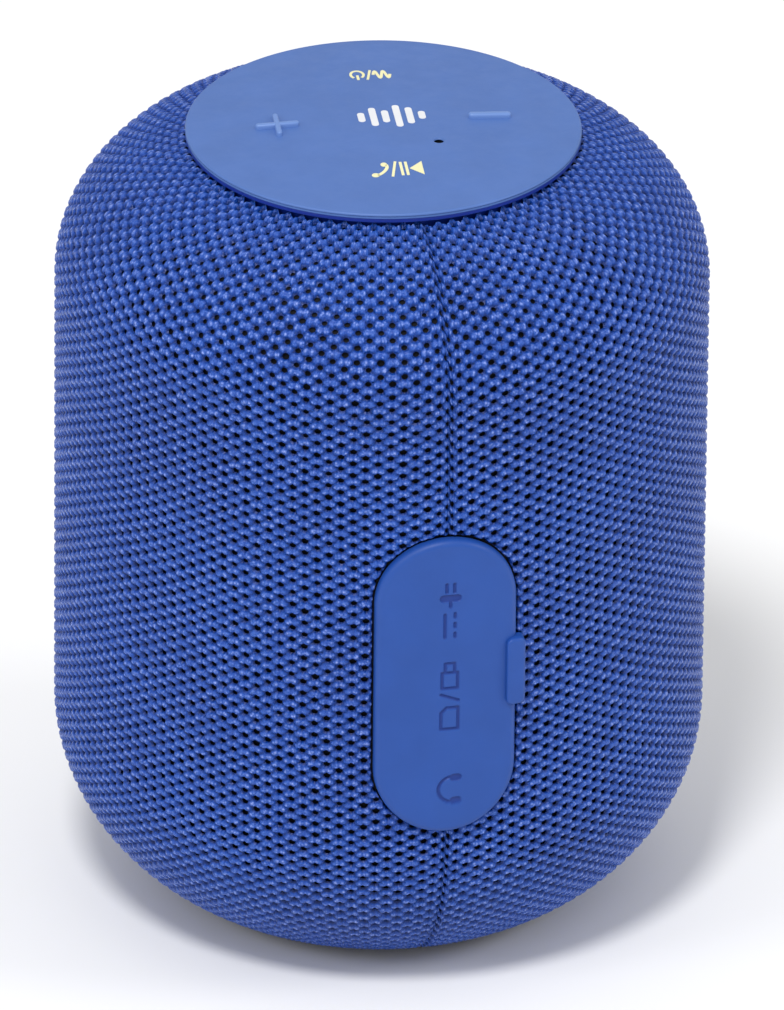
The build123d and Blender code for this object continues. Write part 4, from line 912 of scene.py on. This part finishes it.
def flap_profile():
    """(inset, radius, bears signs) from the face's middle round to the underside's middle."""
    face = [*np.linspace(FLAP_HALF, 4.6, 45), *np.linspace(4.4, FLAP_ROUND + 0.3, 12)]
    steps = []
    for phi in np.linspace(0, np.pi / 2, 9):
        steps.append((FLAP_ROUND * (1 - math.sin(phi)), FLAP_TOP - FLAP_ROUND * (1 - math.cos(phi))))
    steps += [(0.0, FLAP_LOW + 0.25), (0.08, FLAP_LOW + 0.06), (0.3, FLAP_LOW)]
    steps += [(SKIRT_OUT - 0.15, FLAP_LOW), (SKIRT_OUT, FLAP_LOW - 0.15)]
    steps += [(SKIRT_OUT, SKIRT_TIP + 0.35), (SKIRT_OUT + 0.12, SKIRT_TIP + 0.1)]
    steps += [(SKIRT_OUT + 0.4, SKIRT_TIP), (SKIRT_IN - 0.4, SKIRT_TIP)]
    steps += [(SKIRT_IN - 0.12, SKIRT_TIP + 0.1), (SKIRT_IN, SKIRT_TIP + 0.35)]
    steps += [(SKIRT_IN, FLAP_LOW - 0.25), (SKIRT_IN + 0.25, FLAP_LOW)]
    steps += [(s, FLAP_LOW) for s in (5.5, 8.0, FLAP_HALF)]
    return [(s, FLAP_TOP, True) for s in face] + [(s, r, False) for s, r in steps]


def build_flap():
    rings, marks = [], []
    for inset, radius, signs in flap_profile():
        xz = stadium_ring(inset)
        sunk = np.zeros(len(xz))
        if signs:
            near = np.full(len(xz), 9.0)
            for a, b, half in FLAP_STROKES:
                near = np.minimum(near, segment_distance(xz[:, 0], xz[:, 1], a, b) - half)
            # Sunk share: depth of the signs, and where the flap's material paints shade into them.
            sunk = 1 - smoothstep(-0.07, 0.07, near)
        r = radius - SIGN_DEPTH * sunk
        y = -np.sqrt(r**2 - xz[:, 0] ** 2)
        rings.append(np.stack([xz[:, 0], y, xz[:, 1] + PORT_Z], 1))
        marks.append(np.stack([sunk, sunk * 0], 1))
    count = len(rings[0])
    quads = grid_faces(len(rings), count, close_cols=True)[:, ::-1]
    layers = {"sunk": np.concatenate(marks)}
    flap = make_object("flap_cover", np.concatenate(rings), quads, layers=layers, material=flap_face)
    weld(flap, 1e-7)
    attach(flap, "flap")
    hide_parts("port_flap")


build_flap()


def soft_box(name, size, rounding, centre, material, steps=18):
    """Block with rounded edges, wrapped round the barrel."""
    t = np.linspace(-1, 1, steps)
    verts, faces = [], []
    start = 0
    for axis in range(3):
        for sign in (-1, 1):
            a, b = np.meshgrid(t, t, indexing="ij")
            p = np.zeros((steps, steps, 3))
            p[..., axis] = sign
            p[..., (axis + 1) % 3] = a * sign
            p[..., (axis + 2) % 3] = b
            p = p.reshape(-1, 3)
            half = np.array(size) / 2
            inner = half - rounding
            q = np.clip(p * half, -inner, inner)
            d = p * half - q
            length = np.linalg.norm(d, axis=1, keepdims=True)
            scale = np.where(length > 1e-9, rounding / np.maximum(length, 1e-9), 0)
            outer = np.max(np.abs(p), axis=1, keepdims=True)
            verts.append(q + d * np.where(length > 0, scale, 1) * outer)
            faces.append(grid_faces(steps, steps) + start)
            start += steps * steps
    verts = np.concatenate(verts)
    radius = centre[1] + verts[:, 1]
    x = centre[0] + verts[:, 0]
    y = -np.sqrt(np.maximum(radius**2 - x**2, 0))
    points = np.stack([x, y, centre[2] + verts[:, 2]], 1)
    obj = make_object(name, points, np.concatenate(faces), material=material)
    weld(obj, 2e-6)
    return obj


def build_tab():
    """Pull tab on the flap's edge: a slab with rounded corners and a rounded rim."""
    centre, half, corner, rim = (8.95, PORT_Z + 1.3), (1.25, 4.7), 0.85, 0.42
    low, top = 41.9, 43.6
    steps = [(0.0, low), (0.0, low + 0.5)]
    for phi in np.linspace(0, np.pi / 2, 7):
        steps.append((rim * (1 - math.cos(phi)), top - rim * (1 - math.sin(phi))))
    steps += [(0.6, top), (0.8, top)]
    rings = []
    for inset, radius in steps:
        r = max(corner - inset, 0.04)
        outline_points = []
        for k, (sx, sz) in enumerate(((1, 1), (-1, 1), (-1, -1), (1, -1))):
            t = np.radians(np.linspace(90 * k, 90 * k + 90, 12))
            x = sx * (half[0] - inset - r) + r * np.cos(t)
            z = sz * (half[1] - inset - r) + r * np.sin(t)
            outline_points.append(np.stack([x, z], 1))
        xz = np.concatenate(outline_points) + centre
        rings.append(np.stack([xz[:, 0], -np.sqrt(radius**2 - xz[:, 0] ** 2), xz[:, 1]], 1))
    count = len(rings[0])
    middle = np.array([[centre[0], -math.sqrt(top**2 - centre[0] ** 2), centre[1]]])
    quads = grid_faces(len(rings), count, close_cols=True)
    last = (len(rings) - 1) * count + np.arange(count)
    fan = np.stack([last, np.roll(last, -1), np.full(count, len(rings) * count)], 1)
    tab = make_object("flap_pull_tab", np.concatenate(rings + [middle]), [quads, fan], material=flap_rubber)
    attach(tab, "flap")


build_tab()


STRAP_X, STRAP_ROOT_Y, STRAP_FREE_Y = -8.15, -39.4, -40.5
STRAP_SIZE, STRAP_RADIUS = (1.26, 1.3, 7.8), 40.65
tether = soft_box("flap_strap", STRAP_SIZE, 0.2, (STRAP_X, STRAP_RADIUS, PORT_Z), flap_rubber)
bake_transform(tether)
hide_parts("flap_tether")

# ======================= Materials of the CAD nodes =======================
black = moulded("black_moulding", (0.003, 0.003, 0.004), 0.6, 1800, 0.00005, 0.15, shine=0.15)
finishes = {
    "black_plastic": black,
    "screw_steel": brushed("zinc_screw", (0.52, 0.52, 0.54), 0.35, (900, 900, 5000)),
    "blue_silicone": flap_rubber,
    "blue_plastic": base_plastic,
    "foot_rubber": moulded("foot_rubber", (0.02, 0.02, 0.022), 0.75, 1500, 0.00008, 0.2),
    "pad_silicone": pad_rubber,
    "switch_plastic": moulded("switch_stem", (0.05, 0.05, 0.05), 0.4, 2000, 0.00003),
    "switch_body": moulded("switch_body", (0.018, 0.018, 0.02), 0.45, 2000, 0.00003),
    "board_green": moulded("solder_mask", (0.008, 0.09, 0.035), 0.3, 900, 0.00004, 0.25),
    "nickel_shell": brushed("nickel_shell", (0.66, 0.65, 0.62), 0.24, (300, 4000, 4000)),
    "black_rubber": moulded("black_rubber", (0.018, 0.018, 0.018), 0.65, 1500, 0.00006, 0.2),
    "ribbon_white": moulded("ribbon_film", (0.7, 0.7, 0.68), 0.35, 1500, 0.00002, 0.04),
    "tongue_white": moulded("tongue_plastic", (0.7, 0.7, 0.67), 0.4, 1500, 0.00002, 0.04),
    "capacitor_can": brushed("capacitor_can", (0.7, 0.7, 0.7), 0.28, (4000, 4000, 400)),
    "header_cream": moulded("header_nylon", (0.68, 0.64, 0.52), 0.5, 1500, 0.00003, 0.06),
    "cell_wrap": moulded("cell_shrink_wrap", (0.025, 0.14, 0.27), 0.25, 800, 0.00004, 0.08),
    "wire_red": moulded("red_insulation", (0.36, 0.018, 0.018), 0.35, 1500, 0.00003, 0.08),
    "wire_black": moulded("black_insulation", (0.025, 0.025, 0.025), 0.35, 1500, 0.00003, 0.12),
    "basket_steel": moulded("coated_steel", (0.03, 0.03, 0.032), 0.4, 1400, 0.00005, 0.15),
    "ferrite": moulded("ferrite", (0.045, 0.045, 0.05), 0.55, 1300, 0.00007, 0.2),
    "plated_steel": brushed("zinc_yellow_plate", (0.56, 0.5, 0.36), 0.33, (2500, 300, 2500)),
    "coil_copper": brushed("coil_winding", (0.6, 0.26, 0.13), 0.3, (200, 9000, 200)),
    "cone_paper": moulded("pressed_paper", (0.03, 0.03, 0.03), 0.8, 700, 0.00012, 0.3),
    "spider_cloth": moulded("impregnated_cloth", (0.5, 0.34, 0.12), 0.7, 1200, 0.00012, 0.2),
    "gasket_foam": moulded("gasket_foam", (0.03, 0.03, 0.03), 0.9, 900, 0.00015, 0.3),
    "blue_knit": knit_yarn,
}
slot_of = {part["node"]: part["material_slot"] for part in frame["record"]["subparts"]}
for name, node in nodes.items():
    finish = trim_plastic if name == "top_trim_ring" else finishes[slot_of[name]]
    for index in range(len(node.material_slots)):
        node.material_slots[index].material = finish
    if not node.material_slots:
        node.data.materials.append(finish)


# ======================= Flexing rings of the driver =======================
# The surround still crosses the cone when it moves.
DRIVER_Z, RING_PARTS = 60.0, 16
ROLL_FLANGE, ROLL_RIM = 19.0, 21.2  # y of the flange on the cone and of the rim on the basket
ROLL_INNER, ROLL_OUTER, ROLL_THICK = 19.45, 24.4, 0.4
SPIDER_INNER, SPIDER_OUTER, SPIDER_Y = 7.05, 14.0, 11.3
SPIDER_WAVE, SPIDER_HEIGHT, SPIDER_HALF = 2.95, 0.3, 0.15


def wavy(low, high):
    """Outline of the corrugated spider, this far under and over its middle line."""
    r = np.linspace(SPIDER_INNER, SPIDER_OUTER, 60)
    wave = np.cos(2 * np.pi * (r - SPIDER_INNER) / SPIDER_WAVE)
    y = SPIDER_Y - SPIDER_HEIGHT * wave * smoothstep(SPIDER_OUTER, 13.2, r)
    y = y + smoothstep(12.6, SPIDER_OUTER, r) * -0.4
    return [(a, b + low) for a, b in zip(r, y)] + [(a, b + high) for a, b in zip(r[::-1], y[::-1])]


def half_roll():
    """Outline of the surround: cone flange, half roll and the rim glued to the basket."""
    t = np.linspace(0, 1, 16)
    bulge = np.sin(np.pi * t)
    climb = ROLL_RIM - ROLL_FLANGE
    under_r, under_y = 20.4 + 2.2 * t, ROLL_FLANGE + climb * smoothstep(0, 1, t) + 0.15 * bulge
    over_r, over_y = 22.2 - 2.75 * t, ROLL_RIM + ROLL_THICK - climb * t + 0.45 * bulge
    outline = [(ROLL_INNER, ROLL_FLANGE), *zip(under_r, under_y)]
    outline += [(ROLL_OUTER, ROLL_RIM), (ROLL_OUTER, ROLL_RIM + ROLL_THICK)]
    return outline + list(zip(over_r, over_y))


def flexing_ring(name, node, outline, slot):
    """Ring between the driver's frame and its cone, in separate parts round its axis."""
    radius, y = np.array(outline).T
    width = 2 * np.pi / RING_PARTS
    for part in range(RING_PARTS):
        middle = part * width
        turn = np.linspace(middle - width / 2, middle + width / 2, 9)
        rings = [np.stack([radius * math.cos(a), y, DRIVER_Z + radius * math.sin(a)], 1) for a in turn]
        quads = grid_faces(len(rings), len(y), close_cols=True)
        finish = finishes[slot]
        piece = make_object(f"{name}_{part + 1:02d}", np.concatenate(rings), quads, material=finish)
        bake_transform(piece)
        if part == 0:
            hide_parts(node)


flexing_ring("surround_roll", "cone_surround", half_roll(), "black_rubber")
flexing_ring("spider_ring", "spider", wavy(-SPIDER_HALF, SPIDER_HALF), "spider_cloth")

# ======================= Stage and light =======================
STAGE_REACH, STAGE_RISE, STAGE_BEND = 6.0, 4.0, 1.2  # metres


def make_stage():
    """Pale floor that curves up into a backdrop."""
    t = np.linspace(0, np.pi / 2, 16)
    run = [(-STAGE_REACH, 0.0), (0.0, 0.0)]
    near = STAGE_REACH - STAGE_BEND
    curve = [(near + STAGE_BEND * math.sin(a), STAGE_BEND - STAGE_BEND * math.cos(a)) for a in t]
    line = np.array(run + curve + [(STAGE_REACH, STAGE_RISE)])
    verts = [(x, y, z) for y, z in line for x in (-STAGE_REACH, STAGE_REACH)]
    floor = make_object("floor", np.array(verts) / MM, grid_faces(len(line), 2))
    s = Shader("floor_paper")
    s.link(
        s.ramp(s.noise(3, 3, 0.5), (0.3, (0.88, 0.88, 0.88)), (0.7, (0.92, 0.92, 0.92))),
        s.bsdf.inputs["Base Color"],
    )
    s.put(Roughness=0.9)
    floor.data.materials.append(s.material)


make_stage()


def area_light(name, location, size, power):
    data = bpy.data.lights.new(name, "AREA")
    data.shape, data.size, data.energy = "DISK", size, power
    lamp = bpy.data.objects.new(name, data)
    bpy.context.scene.collection.objects.link(lamp)
    lamp.location = location
    lamp.rotation_mode = "QUATERNION"
    lamp.rotation_quaternion = (TARGET - Vector(location)).to_track_quat("-Z", "Y")


area_light("key_light", (-0.45, -0.95, 1.75), 0.4, 21)
area_light("left_light", (-1.3, -0.5, 0.9), 0.5, 4)
area_light("right_light", (1.3, -0.6, 0.9), 0.5, 5)
world = bpy.data.worlds.new("studio")
world.use_nodes = True
sky = world.node_tree.nodes["Background"]
sky.inputs["Color"].default_value = (1.0, 1.0, 1.0, 1.0)
sky.inputs["Strength"].default_value = 0.66
bpy.context.scene.world = world
bpy.context.scene.view_settings.view_transform = "Standard"
